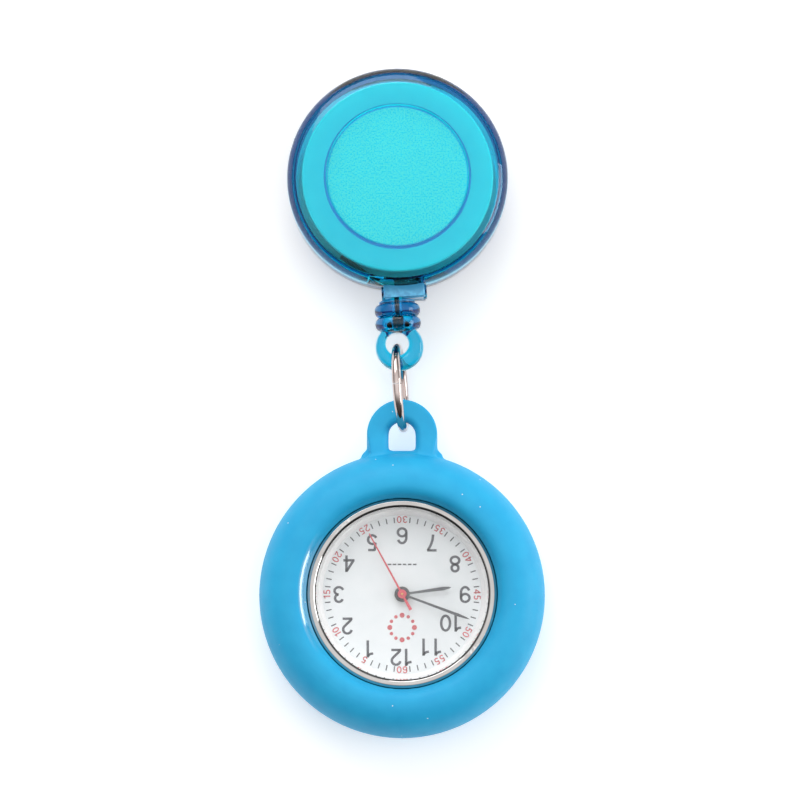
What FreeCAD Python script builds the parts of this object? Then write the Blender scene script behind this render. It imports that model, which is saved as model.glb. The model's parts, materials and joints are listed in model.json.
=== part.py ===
"""A clip-on fob watch: a retractable reel, an eye fitting, a steel ring, and a quartz watch in a silicone case.

The watch lies on its back. +Z is up out of the dial, +Y runs from the watch to the reel, and the origin is
the centre of the whole outline at the surface that it rests on. Lengths are millimetres, angles degrees.
Each function returns one piece in its own sub-assembly's frame, and main() places and writes it.
"""

import FreeCAD
import Part

import math
import os

# ---- driving dimensions -------------------------------------------------------------------------------
REEL_RADIUS = 16.0            # outside of the reel housing
CASE_RADIUS = 20.6            # silicone case at its widest
REEL_TURN = 3.4               # the reel lies turned by this about its own centre
REEL_CENTRE = (-0.67, 32.4)
CASE_CENTRE = (0.0, -27.8)
CORD_Z = 7.6                  # height of the cord, and of the housing's parting plane
CORD_OFFSET = -1.15           # the cord hole lies this far to the side of the outlet's middle
RUN = 0.05                    # radial clearance of a part that turns on another

# reel heights
HOUSING_BACK_Z = 3.6
HOUSING_FLOOR_Z = 4.8
COVER_INSIDE_Z = 10.75
COVER_RECESS_Z = 11.7
COVER_TOP_Z = 12.15
HOUSING_WALL_R = 14.75
RECESS_R = 10.15
OUTLET_END = 17.65            # the outlet's face, from the reel's centre
OUTLET_HALF = 2.97
OUTLET_Z = (5.1, 10.1)

# spool, post and spring
POST_R = 2.0
SPOOL_Z = (5.1, 10.45)
SPOOL_FLANGE_R = 13.9
SPOOL_FLANGE = 0.8
SPOOL_HUB_R = 11.4
SPOOL_CAVITY_R = 10.4
CORD_R = 0.35
WINDING_R = 12.9
SPRING_STRIP = 0.15
SPRING_TURNS = 13
SPRING_Z = (5.4, 9.0)

# belt clip
CLIP_STRIP = 0.6
CLIP_WIDTH = 9.5
CLIP_TOP = 11.6               # where the strip starts to bend over
CLIP_BASE_END = -8.5
CLIP_LEAF_END = -11.5
RIVET_R = 1.2
NUB_R = 0.6
NUB_AT = 5.0

# eye fitting, along its own axis from the outlet's face
FITTING_GAP = 0.1
COLLAR_R = 2.6
RIB_R = 3.32
RIB_PITCH = 1.92
RIB_START = 0.45
EYE_R = 3.47
EYE_AT = 6.75                 # the eye's middle
EYE_HOLE_R = 1.65
EYE_HOLE_AT = 6.25
EYE_HALF_THICK = 1.35
KNOT_R = 1.25

# steel ring
RING_OUTER_R = 6.5
RING_WIRE_R = 0.65
RING_CENTRE = (-0.25, 2.1, 6.52)
RING_TURN = 4.0               # about Z
RING_LEAN = -5.0              # about Y

# silicone case
LOOP_Y = 23.1                 # middle of the loop's arcs, from the case's centre
LOOP_R = 5.1
LOOP_HOLE_R = 1.95
LOOP_HOLE_FLAT = 20.8
LOOP_Z = (4.4, 7.2)
CASE_CREST = (15.8, 10.9)     # radius and height of the case's crest
CASE_EQUATOR_Z = 5.2
CASE_BACK_FLAT_R = 15.5
CASE_BACK_OPENING_R = 10.5
CASE_LIP = (13.68, 9.1)
CAVITY_R = 14.1
CAVITY_Z = (1.4, 8.6)

# watch head
HEAD_R = 14.0
BACK_Z = 1.45
BORE_R = 12.3
SEAT_R = 11.95
SEAT_Z = 8.2
BEZEL_TOP_Z = 9.55
CRYSTAL_R = 12.4
CRYSTAL_Z = (8.25, 9.45)
DIAL_Z = (5.6, 6.0)
DIAL_R = 11.9
DIAL_SHOWN_R = 11.35

# movement
PLATE_R = 10.4
PLATE_Z = (4.3, 5.5)
PLATE_POCKET_Z = 4.8
BRIDGE_Z = (2.5, 2.9)
BATTERY_R = 3.4
BATTERY_AT = (-5.7, 3.3)
BATTERY_Z = (2.4, 5.0)
COIL_Y = -7.7
COIL_Z = 3.72
LUG_X = (4.75, 5.95)          # inner and outer side of the stator's lugs
ARBOR_R = 0.11
SECOND_ARBOR_R = 0.15
CANNON_BORE_R = 0.2
CANNON_R = 0.5
HOUR_TUBE_R = 0.85
STEM_R = 0.4
STEM_Z = 4.55
STEM_SQUARE = 0.5
CLUTCH_R = 0.72
CLUTCH_X = (4.95, 6.15)       # the sliding pinion's place with the crown pushed in
CROWN_R = 1.6
CROWN_X = (14.35, 15.85)
CROWN_TRAVEL = 0.8

# gear train: tooth counts and modules. Each wheel's place follows from its mesh.
ROTOR_TEETH, FIFTH_TEETH, ROTOR_MODULE = 8, 48, 0.07
FIFTH_PINION, SECOND_TEETH, FIFTH_MODULE = 8, 40, 0.09
SECOND_PINION, THIRD_TEETH = 8, 60
THIRD_PINION, CENTRE_TEETH, CENTRE_MODULE = 8, 64, 0.06
SECOND_MODULE = CENTRE_MODULE * (THIRD_PINION + CENTRE_TEETH) / (SECOND_PINION + THIRD_TEETH)
CANNON_TEETH, MINUTE_TEETH, MOTION_MODULE = 10, 30, 0.1
MINUTE_PINION, HOUR_TEETH = 8, 32
SETTING_TEETH = 14

# hands, clockwise from twelve: the time is 8:48:25
HOUR_HAND_DEG = 262.0
MINUTE_HAND_DEG = 290.4
SECOND_HAND_DEG = 151.4


# ---- shape helpers ------------------------------------------------------------------------------------
def vec(x, y, z=0.0):
    return FreeCAD.Vector(x, y, z)


def cylinder(radius, z, at=(0.0, 0.0)):
    """A cylinder along Z between the two heights in z."""
    return Part.makeCylinder(radius, z[1] - z[0], vec(at[0], at[1], z[0]))


def tube(outer, inner, z, at=(0.0, 0.0)):
    return cylinder(outer, z, at).cut(cylinder(inner, (z[0] - 1, z[1] + 1), at))


def rod(radius, start, end):
    """A cylinder from one point to another."""
    along = end.sub(start)
    return Part.makeCylinder(radius, along.Length, start, along)


def box(low, high):
    size = vec(*high).sub(vec(*low))
    return Part.makeBox(size.x, size.y, size.z, vec(*low))


def path(points, to_vector):
    """A closed wire. A point is (a, b) for a straight edge, or (a, b, mid_a, mid_b) for an arc through mid."""
    edges = []
    last = to_vector(*points[-1][:2])
    for point in points:
        here = to_vector(*point[:2])
        if len(point) == 4:
            edges.append(Part.Arc(last, to_vector(*point[2:]), here).toShape())
        else:
            edges.append(Part.LineSegment(last, here).toShape())
        last = here
    return Part.Wire(edges)


def lathe(points):
    """A solid of revolution about Z from a profile of (radius, height) points."""
    face = Part.Face(path(points, lambda r, z: vec(r, 0, z)))
    return face.revolve(vec(0, 0), vec(0, 0, 1), 360)


def plate(points, z):
    """A flat solid between two heights, from an outline of (x, y) points."""
    face = Part.Face(path(points, lambda x, y: vec(x, y, z[0])))
    return face.extrude(vec(0, 0, z[1] - z[0]))


def quarter(centre, half_r, half_z, start, end):
    """Points of an elliptic quarter as (radius, height), without its first point."""
    steps = 3
    points = []
    for i in range(1, steps + 1):
        ends = [start + (end - start) * (i - back) / steps for back in (0, 0.5)]
        spots = [(centre[0] + half_r * math.cos(math.radians(a)),
                  centre[1] + half_z * math.sin(math.radians(a))) for a in ends]
        points.append((*spots[0], *spots[1]))
    return points


def polar(radius, degrees):
    return radius * math.cos(math.radians(degrees)), radius * math.sin(math.radians(degrees))


def turned(shape, degrees, about=(0.0, 0.0)):
    """A copy turned about an upright axis."""
    copy = shape.copy()
    copy.rotate(vec(*about), vec(0, 0, 1), degrees)
    return copy


def fused(*shapes):
    whole = shapes[0]
    if len(shapes) > 1:
        whole = whole.fuse(list(shapes[1:]))
    return whole.removeSplitter()


# ---- reel ---------------------------------------------------------------------------------------------
def outlet_block(half_width, z):
    """The square nose where the cord leaves the housing."""
    nose = box((-half_width, -OUTLET_END, z[0]), (half_width, -HOUSING_WALL_R + 0.3, z[1]))
    upright = [e for e in nose.Edges if abs(e.Vertexes[0].Point.x - e.Vertexes[1].Point.x) < 1e-6
               and abs(e.Vertexes[0].Point.y - e.Vertexes[1].Point.y) < 1e-6
               and e.Vertexes[0].Point.y < -OUTLET_END + 0.1]
    return nose.makeFillet(0.4, upright)


def cord_passage():
    """The room that the cord needs from the spool's edge out through the outlet."""
    start, mouth = cord_points()[0], cord_points()[1]
    slanted = rod(CORD_R + 0.35, start, mouth)
    straight = rod(CORD_R + 0.35, mouth, vec(CORD_OFFSET, -OUTLET_END - 1, CORD_Z))
    return slanted.fuse(straight)


def cord_points():
    """Where the cord leaves its winding, where it turns in the outlet, and where it ends in the knot."""
    mouth = vec(CORD_OFFSET, -OUTLET_END + 1.4, CORD_Z)
    radius = WINDING_R + CORD_R + 0.05
    reach = math.hypot(mouth.x, mouth.y)
    bearing = math.degrees(math.atan2(mouth.y, mouth.x)) - math.degrees(math.acos(radius / reach))
    leave = vec(*polar(radius, bearing), CORD_Z)
    knot = vec(CORD_OFFSET, -OUTLET_END - FITTING_GAP - RIB_START - 1.5 * RIB_PITCH, CORD_Z)
    return leave, mouth, knot


def front_cover():
    """Clear cover: a rounded shoulder, a domed margin and a recessed round field for a label."""
    shoulder = (13.9, 11.85, 15.35, 11.25)
    shell = lathe([(0, COVER_INSIDE_Z), (0, COVER_RECESS_Z), (RECESS_R, COVER_RECESS_Z),
                   (RECESS_R + 0.45, COVER_TOP_Z), (*shoulder[:2], 12.3, 12.07),
                   (REEL_RADIUS, 9.7, *shoulder[2:]), (REEL_RADIUS, CORD_Z), (HOUSING_WALL_R, CORD_Z),
                   (HOUSING_WALL_R, COVER_INSIDE_Z - 0.6), (HOUSING_WALL_R - 0.6, COVER_INSIDE_Z)])
    boss = tube(POST_R + 0.9, POST_R + 0.1, (COVER_INSIDE_Z - 0.25, COVER_INSIDE_Z + 0.1))
    nose = outlet_block(OUTLET_HALF, (CORD_Z, OUTLET_Z[1]))
    return fused(shell, boss, nose).cut(cord_passage())


def back_shell():
    """Clear back: floor, wall, a tongue that locates the cover, the slotted spring post and two clip nubs."""
    floor = lathe([(0, HOUSING_BACK_Z), (REEL_RADIUS - 0.8, HOUSING_BACK_Z),
                   (REEL_RADIUS, HOUSING_BACK_Z + 0.8, REEL_RADIUS - 0.23, HOUSING_BACK_Z + 0.23),
                   (REEL_RADIUS, CORD_Z), (HOUSING_WALL_R, CORD_Z), (HOUSING_WALL_R, HOUSING_FLOOR_Z),
                   (0, HOUSING_FLOOR_Z)])
    tongue = tube(HOUSING_WALL_R - 0.05, HOUSING_WALL_R - 0.6, (HOUSING_FLOOR_Z, CORD_Z + 0.8))
    post = cylinder(POST_R, (HOUSING_FLOOR_Z, SPOOL_Z[1] - 0.1))
    nose = outlet_block(OUTLET_HALF + 0.3, (OUTLET_Z[0], CORD_Z))
    nubs = [cylinder(NUB_R, (HOUSING_BACK_Z - 0.5, HOUSING_BACK_Z + 0.1), (0, side * NUB_AT))
            for side in (-1, 1)]
    slot = box((-0.2, 0, SPRING_Z[0] - 0.2), (0.2, POST_R + 1, SPRING_Z[1] + 0.2))
    rivet_hole = cylinder(RIVET_R, (HOUSING_BACK_Z - 1, HOUSING_FLOOR_Z + 0.4))
    gap = box((-3.6, -HOUSING_WALL_R - 0.1, CORD_Z), (3.6, -10, CORD_Z + 2))
    shell = fused(floor, tongue, post, nose, *nubs)
    return shell.cut([slot, rivet_hole, gap, cord_passage()])


def spool():
    """Drum with a groove for the cord outside and a cavity for the spring inside, open at the back."""
    low, high = SPOOL_Z
    drum = lathe([(POST_R + RUN + 0.05, high), (SPOOL_FLANGE_R, high), (SPOOL_FLANGE_R, high - SPOOL_FLANGE),
                  (SPOOL_HUB_R, high - SPOOL_FLANGE), (SPOOL_HUB_R, low + SPOOL_FLANGE),
                  (SPOOL_FLANGE_R, low + SPOOL_FLANGE), (SPOOL_FLANGE_R, low), (SPOOL_CAVITY_R, low),
                  (SPOOL_CAVITY_R, high - 0.95), (POST_R + RUN + 0.05, high - 0.95)])
    notch = box((SPOOL_CAVITY_R - 0.5, -0.3, low - 1), (SPOOL_CAVITY_R + 0.55, 0.3, SPRING_Z[1] + 0.2))
    return drum.cut(notch)


def power_spring():
    """Flat spiral spring from the post's slot out to the notch in the spool, as a chain of half circles."""
    inner, outer = POST_R + 0.3, SPOOL_CAVITY_R - 0.25
    halves = 2 * SPRING_TURNS
    step = (outer - inner) / halves
    half = SPRING_STRIP / 2
    near, far = [], []
    for i in range(halves):
        middle = step * (i % 2)
        way = 1 if i % 2 == 0 else -1
        radius = inner + step * i
        for side, edges in ((-half, near), (half, far)):
            ends = [vec(0, middle + way * (radius + side), SPRING_Z[0]),
                    vec(-way * (radius + side), middle, SPRING_Z[0]),
                    vec(0, middle - way * (radius + side), SPRING_Z[0])]
            edges.append(Part.Arc(*ends).toShape())
    caps = [Part.LineSegment(near[end].Vertexes[end].Point, far[end].Vertexes[end].Point).toShape()
            for end in (0, -1)]
    face = Part.Face(Part.Wire([*near, caps[1], *far[::-1], caps[0]]))
    strip = face.extrude(vec(0, 0, SPRING_Z[1] - SPRING_Z[0]))
    tail = box((-half, POST_R - 1.0, SPRING_Z[0]), (half, inner + 0.05, SPRING_Z[1]))
    return strip.fuse(tail).removeSplitter()


def cord_winding():
    """The cord wound on the spool: eight turns in two layers, as the outer shape that they fill."""
    low, high = SPOOL_Z
    return tube(WINDING_R, SPOOL_HUB_R, (low + SPOOL_FLANGE + 0.1, high - SPOOL_FLANGE - 0.1))


def cord_lead():
    """The cord from the winding to the turn in the outlet."""
    leave, mouth, _ = cord_points()
    return rod(CORD_R, leave, mouth)


def cord_tail():
    """The cord from the turn in the outlet to the knot, which pays out as the fitting is pulled."""
    _, mouth, knot = cord_points()
    return rod(CORD_R, mouth.add(vec(0, -0.25, 0)), knot.add(vec(0, KNOT_R - 0.1, 0)))


def cord_knot():
    """The knot that holds the fitting on the cord."""
    knot = Part.makeSphere(KNOT_R)
    stretch = FreeCAD.Matrix()
    stretch.scale(1.15, 0.8, 0.9)
    return knot.transformGeometry(stretch).translated(cord_points()[2])


def clip_profile(points):
    """A strip of the clip's width from a side outline of (y, z) points."""
    face = Part.Face(path(points, lambda y, z: vec(-CLIP_WIDTH / 2, y, z)))
    return face.extrude(vec(CLIP_WIDTH, 0, 0))


def clip_bend_centre():
    """The middle of the clip's bend, as (y, z)."""
    return CLIP_TOP, HOUSING_BACK_Z / 2


def clip_base():
    """The clip's fixed leaf, flat on the housing, with the upper half of the bend."""
    y, z = clip_bend_centre()
    outer, inner = z, z - CLIP_STRIP
    leaf = clip_profile([(y, z + inner), (y + inner, z, y + 0.7071 * inner, z + 0.7071 * inner), (y + outer, z),
                         (y, z + outer, y + 0.7071 * outer, z + 0.7071 * outer),
                         (CLIP_BASE_END, z + outer), (CLIP_BASE_END, z + inner)])
    holes = [cylinder(NUB_R + 0.05, (0, HOUSING_BACK_Z + 1), (0, side * NUB_AT)) for side in (-1, 1)]
    return leaf.cut([*holes, cylinder(RIVET_R, (0, HOUSING_BACK_Z + 1))])


def clip_leaf():
    """The clip's free leaf: the lower half of the bend, a long bowed leaf and a lifted tip."""
    y, z = clip_bend_centre()
    outer, inner, t = z, z - CLIP_STRIP, CLIP_STRIP
    end = CLIP_LEAF_END
    return clip_profile([(y + inner, z), (y, z - inner, y + 0.7071 * inner, z - 0.7071 * inner),
                         (end + 5, t + 0.75, 3.0, t + 0.15), (end + 2.6, t + 0.75, end + 3.8, t + 0.95),
                         (end + 0.1, t + 0.05), (end, 0.0), (end + 2.7, 0.72),
                         (end + 5, 0.75, end + 3.8, 0.93),
                         (y, z - outer, 3.0, 0.15), (y + outer, z, y + 0.7071 * outer, z - 0.7071 * outer)])


def clip_rivet():
    """Tubular rivet through the clip and the housing's floor into the post."""
    top = HOUSING_FLOOR_Z + 0.35
    under = HOUSING_BACK_Z - CLIP_STRIP
    return lathe([(0.55, under - 0.25), (1.3, under - 0.4), (2.3, under, 2.05, under - 0.3), (RIVET_R, under),
                  (RIVET_R, top), (0.55, top)])


# ---- eye fitting and ring -----------------------------------------------------------------------------
def end_fitting():
    """Clear ribbed fitting on the cord's end, hollow for the knot, with a round eye for the ring."""
    start = 0.0
    ribs = [(0, start), (COLLAR_R, start), (COLLAR_R, RIB_START)]
    for i in range(2):
        foot = RIB_START + (i + 1) * RIB_PITCH
        ribs.append((COLLAR_R + 0.15 * (1 - i), foot, RIB_R, foot - RIB_PITCH / 2))
    ribs += [(COLLAR_R - 0.3, RIB_START + 2 * RIB_PITCH + 0.5), (0, RIB_START + 2 * RIB_PITCH + 0.5)]
    body = lathe(ribs)
    knot_at = RIB_START + 1.5 * RIB_PITCH
    cavity = cylinder(KNOT_R * 1.15 + 0.12, (knot_at - 1.25, knot_at + 1.15))
    cavity = cavity.fuse(cylinder(CORD_R + 0.15, (-1, knot_at)))
    half = EYE_HALF_THICK
    ring = Part.makeCylinder(EYE_R, 2 * half, vec(0, -half, EYE_AT), vec(0, 1, 0))
    ring = ring.makeFillet(half - 0.15, [e for e in ring.Edges if isinstance(e.Curve, Part.Circle)])
    flare = 0.7
    hole = lathe([(0, -half), (EYE_HOLE_R + flare, -half),
                  (EYE_HOLE_R, flare - half, EYE_HOLE_R + 0.3 * flare, 0.3 * flare - half),
                  (EYE_HOLE_R, half - flare), (EYE_HOLE_R + flare, half,
                                               EYE_HOLE_R + 0.3 * flare, half - 0.3 * flare), (0, half)])
    hole.rotate(vec(0, 0), vec(1, 0, 0), -90)
    whole = fused(body, ring).cut(hole.translated(vec(0, 0, EYE_HOLE_AT)))
    whole = whole.cut(cavity)
    # lay the axis down: local +Z becomes -Y, and the eye's hole ends upright
    whole.rotate(vec(0, 0), vec(1, 0, 0), 90)
    whole.translate(vec(CORD_OFFSET, -OUTLET_END - FITTING_GAP, CORD_Z))
    return whole


def steel_ring():
    """Open ring of round wire, butted with a fine cut at the top."""
    ring = Part.makeTorus(RING_OUTER_R - RING_WIRE_R, RING_WIRE_R)
    ring.rotate(vec(0, 0), vec(0, 1, 0), 90)
    cut = box((-2, -0.04, 0), (2, 0.04, RING_OUTER_R + 1))
    ring = ring.cut(cut)
    ring.rotate(vec(0, 0), vec(0, 1, 0), RING_LEAN)
    ring.rotate(vec(0, 0), vec(0, 0, 1), RING_TURN)
    ring.translate(vec(*RING_CENTRE))
    return ring


# ---- silicone case and watch head ---------------------------------------------------------------------
def silicone_case():
    """Soft case: a rounded ring that grips the watch head, with a flat loop at six o'clock."""
    crest_r, crest_z = CASE_CREST
    lip_r, lip_z = CASE_LIP
    body = lathe([(CASE_BACK_OPENING_R, 0), (CASE_BACK_FLAT_R, 0),
                  *quarter((CASE_BACK_FLAT_R, CASE_EQUATOR_Z), CASE_RADIUS - CASE_BACK_FLAT_R,
                           CASE_EQUATOR_Z, -90, 0),
                  *quarter((crest_r, CASE_EQUATOR_Z), CASE_RADIUS - crest_r, crest_z - CASE_EQUATOR_Z, 0, 90),
                  (lip_r, crest_z - 1.0, crest_r - 1.3, crest_z - 0.33), (lip_r, lip_z),
                  (CAVITY_R, CAVITY_Z[1]), (CAVITY_R, CAVITY_Z[0] + 0.6), (CAVITY_R - 0.75, CAVITY_Z[0]),
                  (CASE_BACK_OPENING_R, CAVITY_Z[0])])
    r = LOOP_R
    tab = plate([(-r, -LOOP_Y), (r, -LOOP_Y, 0, -LOOP_Y - r), (r, -17.6), (-r, -17.6)], LOOP_Z)
    rims = [e for e in tab.Edges if abs(e.BoundBox.ZLength) < 1e-6 and e.BoundBox.YMin < -18]
    tab = tab.makeFillet(0.9, rims)
    shoulder = plate([(-r - 0.9, -19.4), (-r - 0.2, -20.9, -r - 0.75, -20.4), (r + 0.2, -20.9),
                      (r + 0.9, -19.4, r + 0.75, -20.4), (r + 0.9, -17.6), (-r - 0.9, -17.6)],
                     (LOOP_Z[0] + 0.25, LOOP_Z[1] - 0.25))
    h = LOOP_HOLE_R
    hole = plate([(-h, -LOOP_Y), (h, -LOOP_Y, 0, -LOOP_Y - h), (h, -LOOP_HOLE_FLAT), (-h, -LOOP_HOLE_FLAT)],
                 (LOOP_Z[0] - 1, LOOP_Z[1] + 1))
    loop = tab.fuse(shoulder).cut(cylinder(CAVITY_R, (0, 12))).cut(hole)
    rims = [e for e in loop.Edges if abs(e.BoundBox.ZLength) < 1e-6
            and max(abs(e.BoundBox.XMin), abs(e.BoundBox.XMax)) < h + 0.01 and e.BoundBox.YMax < -20]
    loop = loop.makeFillet(0.8, rims)
    pocket = rod(CROWN_R + 0.3, vec(HEAD_R - 1, 0, STEM_Z), vec(CROWN_X[1] + CROWN_TRAVEL + 0.4, 0, STEM_Z))
    return body.fuse(loop).removeSplitter().cut(pocket)


def watch_case():
    """Plated head with its polished bezel, the crystal's seat and the stem's hole."""
    crest = (12.95, BEZEL_TOP_Z)
    shell = lathe([(BORE_R, BACK_Z + 0.55), (HEAD_R - 0.6, BACK_Z + 0.55),
                   (HEAD_R, BACK_Z + 1.15, HEAD_R - 0.18, BACK_Z + 0.73), (HEAD_R, 8.45),
                   (13.6, 8.9, 13.85, 8.75), (*crest, 13.45, 9.4), (12.62, 9.35), (CRYSTAL_R + 0.1, 9.2),
                   (CRYSTAL_R + 0.1, SEAT_Z), (SEAT_R, SEAT_Z), (SEAT_R, SEAT_Z - 0.35),
                   (BORE_R, SEAT_Z - 0.35)])
    hole = rod(STEM_R + 0.35, vec(BORE_R - 1, 0, STEM_Z), vec(HEAD_R + 1, 0, STEM_Z))
    return shell.cut(hole)


def stem_tube():
    """Short tube pressed into the head, where the crown's seal runs."""
    sleeve = rod(STEM_R + 0.35, vec(BORE_R + 0.2, 0, STEM_Z), vec(HEAD_R - 0.05, 0, STEM_Z))
    return sleeve.cut(rod(STEM_R + RUN, vec(BORE_R - 1, 0, STEM_Z), vec(HEAD_R + 1, 0, STEM_Z)))


def case_back():
    """Snap-on steel back with a raised rim."""
    r = BORE_R - 0.02
    return lathe([(0, BACK_Z), (12.7, BACK_Z), (13.1, BACK_Z + 0.2), (13.1, BACK_Z + 0.5), (r, BACK_Z + 0.5),
                  (r, BACK_Z + 1.3), (r - 0.5, BACK_Z + 1.3), (r - 0.5, BACK_Z + 0.5), (0, BACK_Z + 0.5)])


def back_gasket():
    """Flat seal in the corner inside the back's rim."""
    return tube(BORE_R - 0.55, BORE_R - 1.1, (BACK_Z + 0.5, BACK_Z + 0.8))


def crystal():
    """Flat mineral crystal with a bevelled edge."""
    low, high = CRYSTAL_Z
    return lathe([(0, low), (CRYSTAL_R, low), (CRYSTAL_R, high - 0.3), (CRYSTAL_R - 0.35, high), (0, high)])


def crystal_gasket():
    """Thin black ring that grips the crystal in the bezel."""
    return tube(CRYSTAL_R + 0.1, CRYSTAL_R, (SEAT_Z + 0.1, 9.1))


def dial_ring():
    """White sloping ring between the dial and the crystal's seat."""
    return lathe([(DIAL_SHOWN_R, DIAL_Z[1]), (BORE_R - 0.05, DIAL_Z[1]), (BORE_R - 0.05, SEAT_Z - 0.4),
                  (SEAT_R - 0.1, SEAT_Z - 0.4), (SEAT_R - 0.1, SEAT_Z - 0.5)])


def dial():
    """Painted brass disc with a hole for the hour tube and two feet for the movement."""
    disc = tube(DIAL_R, HOUR_TUBE_R + 0.15, DIAL_Z)
    feet = [cylinder(0.35, (DIAL_Z[0] - 0.8, DIAL_Z[0] + 0.1), polar(9.4, a)) for a in (75, 255)]
    return fused(disc, *feet)


# ---- movement -----------------------------------------------------------------------------------------
def gear(teeth, module, z, bore, phase=0.0, at=(0.0, 0.0)):
    """A spur gear with straight-flanked teeth. A tooth is centred on the direction given by phase."""
    tip, root = module * (teeth / 2 + 0.9), module * (teeth / 2 - 1.15)
    pitch = 360 / teeth
    shares = ((root, -0.29), (tip, -0.11), (tip, 0.11), (root, 0.29))
    points = []
    for i in range(teeth):
        for radius, share in shares:
            x, y = polar(radius, phase + pitch * (i + share))
            points.append((at[0] + x, at[1] + y))
    blank = plate(points, z)
    if not bore:
        return blank
    return blank.cut(cylinder(bore, (z[0] - 1, z[1] + 1), at))


def meshed_phase(teeth, other_teeth, other_phase, direction):
    """The phase that puts a gap of this gear where the other gear, seen in the direction, has a tooth."""
    step, other_step = 360 / teeth, 360 / other_teeth
    # how far the other gear's nearest tooth is turned past the line of centres
    past = (direction + 180 - other_phase) / other_step
    past = (round(past) - past) * other_step
    return direction - past * other_teeth / teeth + step / 2


def step_to(start, distance, degrees):
    x, y = polar(distance, degrees)
    return start[0] + x, start[1] + y


def train_places():
    """The axes of the train, from the centre outwards."""
    fifth = step_to((0, 0), FIFTH_MODULE * (FIFTH_PINION + SECOND_TEETH) / 2, -120)
    rotor = step_to(fifth, ROTOR_MODULE * (ROTOR_TEETH + FIFTH_TEETH) / 2, -100)
    third = step_to((0, 0), CENTRE_MODULE * (THIRD_PINION + CENTRE_TEETH) / 2, 60)
    minute = step_to((0, 0), MOTION_MODULE * (CANNON_TEETH + MINUTE_TEETH) / 2, -30)
    setting = step_to(minute, MOTION_MODULE * (MINUTE_TEETH + SETTING_TEETH) / 2, 0)
    return {"fifth": fifth, "rotor": rotor, "third": third, "minute": minute, "setting": setting}


def train_phases():
    """A phase for every gear of the train, so that each pair is in mesh at rest."""
    second_wheel, second_pinion = 0.0, 0.0
    fifth_pinion = meshed_phase(FIFTH_PINION, SECOND_TEETH, second_wheel, 60)
    third_wheel = meshed_phase(THIRD_TEETH, SECOND_PINION, second_pinion, -120)
    rotor = meshed_phase(ROTOR_TEETH, FIFTH_TEETH, 0.0, 80)
    centre = meshed_phase(CENTRE_TEETH, THIRD_PINION, 0.0, 60)
    minute = meshed_phase(MINUTE_TEETH, CANNON_TEETH, 0.0, 150)
    hour = meshed_phase(HOUR_TEETH, MINUTE_PINION, 0.0, -30)
    setting = meshed_phase(SETTING_TEETH, MINUTE_TEETH, minute, 180)
    return {"second_wheel": second_wheel, "second_pinion": second_pinion, "fifth_pinion": fifth_pinion,
            "third_wheel": third_wheel, "rotor": rotor, "centre": centre, "minute": minute, "hour": hour,
            "setting": setting}


def arbor_with(at, z, *wheels):
    """An arbor with pivots and the gears fixed on it."""
    shaft = cylinder(ARBOR_R, z, at)
    return fused(shaft, *wheels)


def rotor():
    """Magnet, pinion and arbor of the stepping motor."""
    at = train_places()["rotor"]
    pinion = gear(ROTOR_TEETH, ROTOR_MODULE, (3.3, 3.75), 0, train_phases()["rotor"], at)
    return arbor_with(at, (2.7, 4.6), pinion, cylinder(0.55, (3.85, 4.2), at))


def fifth_wheel():
    at = train_places()["fifth"]
    wheel = gear(FIFTH_TEETH, ROTOR_MODULE, (3.5, 3.62), 0, 0.0, at)
    pinion = gear(FIFTH_PINION, FIFTH_MODULE, (3.0, 3.3), 0, train_phases()["fifth_pinion"], at)
    return arbor_with(at, (2.7, 4.6), wheel, pinion)


def second_wheel():
    """Seconds wheel, its pinion and the long arbor that carries the second hand."""
    wheel = gear(SECOND_TEETH, FIFTH_MODULE, (3.05, 3.2), 0, train_phases()["second_wheel"])
    pinion = gear(SECOND_PINION, SECOND_MODULE, (3.2, 3.75), 0, train_phases()["second_pinion"])
    return fused(cylinder(SECOND_ARBOR_R, (2.7, 7.6)), wheel, pinion)


def third_wheel():
    at = train_places()["third"]
    wheel = gear(THIRD_TEETH, SECOND_MODULE, (3.5, 3.62), 0, train_phases()["third_wheel"], at)
    pinion = gear(THIRD_PINION, CENTRE_MODULE, (3.7, 4.2), 0, 0.0, at)
    return arbor_with(at, (2.7, 4.6), wheel, pinion)


def centre_wheel():
    """Minute wheel of the train with its cannon pinion and the tube that carries the minute hand."""
    wheel = gear(CENTRE_TEETH, CENTRE_MODULE, (4.0, 4.12), 0, train_phases()["centre"])
    pinion = gear(CANNON_TEETH, MOTION_MODULE, (4.85, 5.2), 0)
    pipe = cylinder(CANNON_R - 0.1, (3.9, 5.0)).fuse(cylinder(CANNON_R, (5.0, 7.1)))
    return fused(pipe, wheel, pinion).cut(cylinder(CANNON_BORE_R, (3, 8)))


def minute_wheel():
    at = train_places()["minute"]
    wheel = gear(MINUTE_TEETH, MOTION_MODULE, (4.95, 5.08), 0, train_phases()["minute"], at)
    pinion = gear(MINUTE_PINION, MOTION_MODULE, (5.08, 5.45), 0, 0.0, at)
    return fused(wheel, pinion).cut(cylinder(0.2 + RUN, (4, 6), at))


def hour_wheel():
    """Hour wheel and the tube that carries the hour hand."""
    wheel = gear(HOUR_TEETH, MOTION_MODULE, (5.25, 5.4), 0, train_phases()["hour"])
    return fused(wheel, cylinder(HOUR_TUBE_R, (5.25, 6.75))).cut(cylinder(CANNON_R + RUN, (5, 8)))


def setting_wheel():
    at = train_places()["setting"]
    return gear(SETTING_TEETH, MOTION_MODULE, (4.95, 5.1), 0.2 + RUN, train_phases()["setting"], at)


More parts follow.
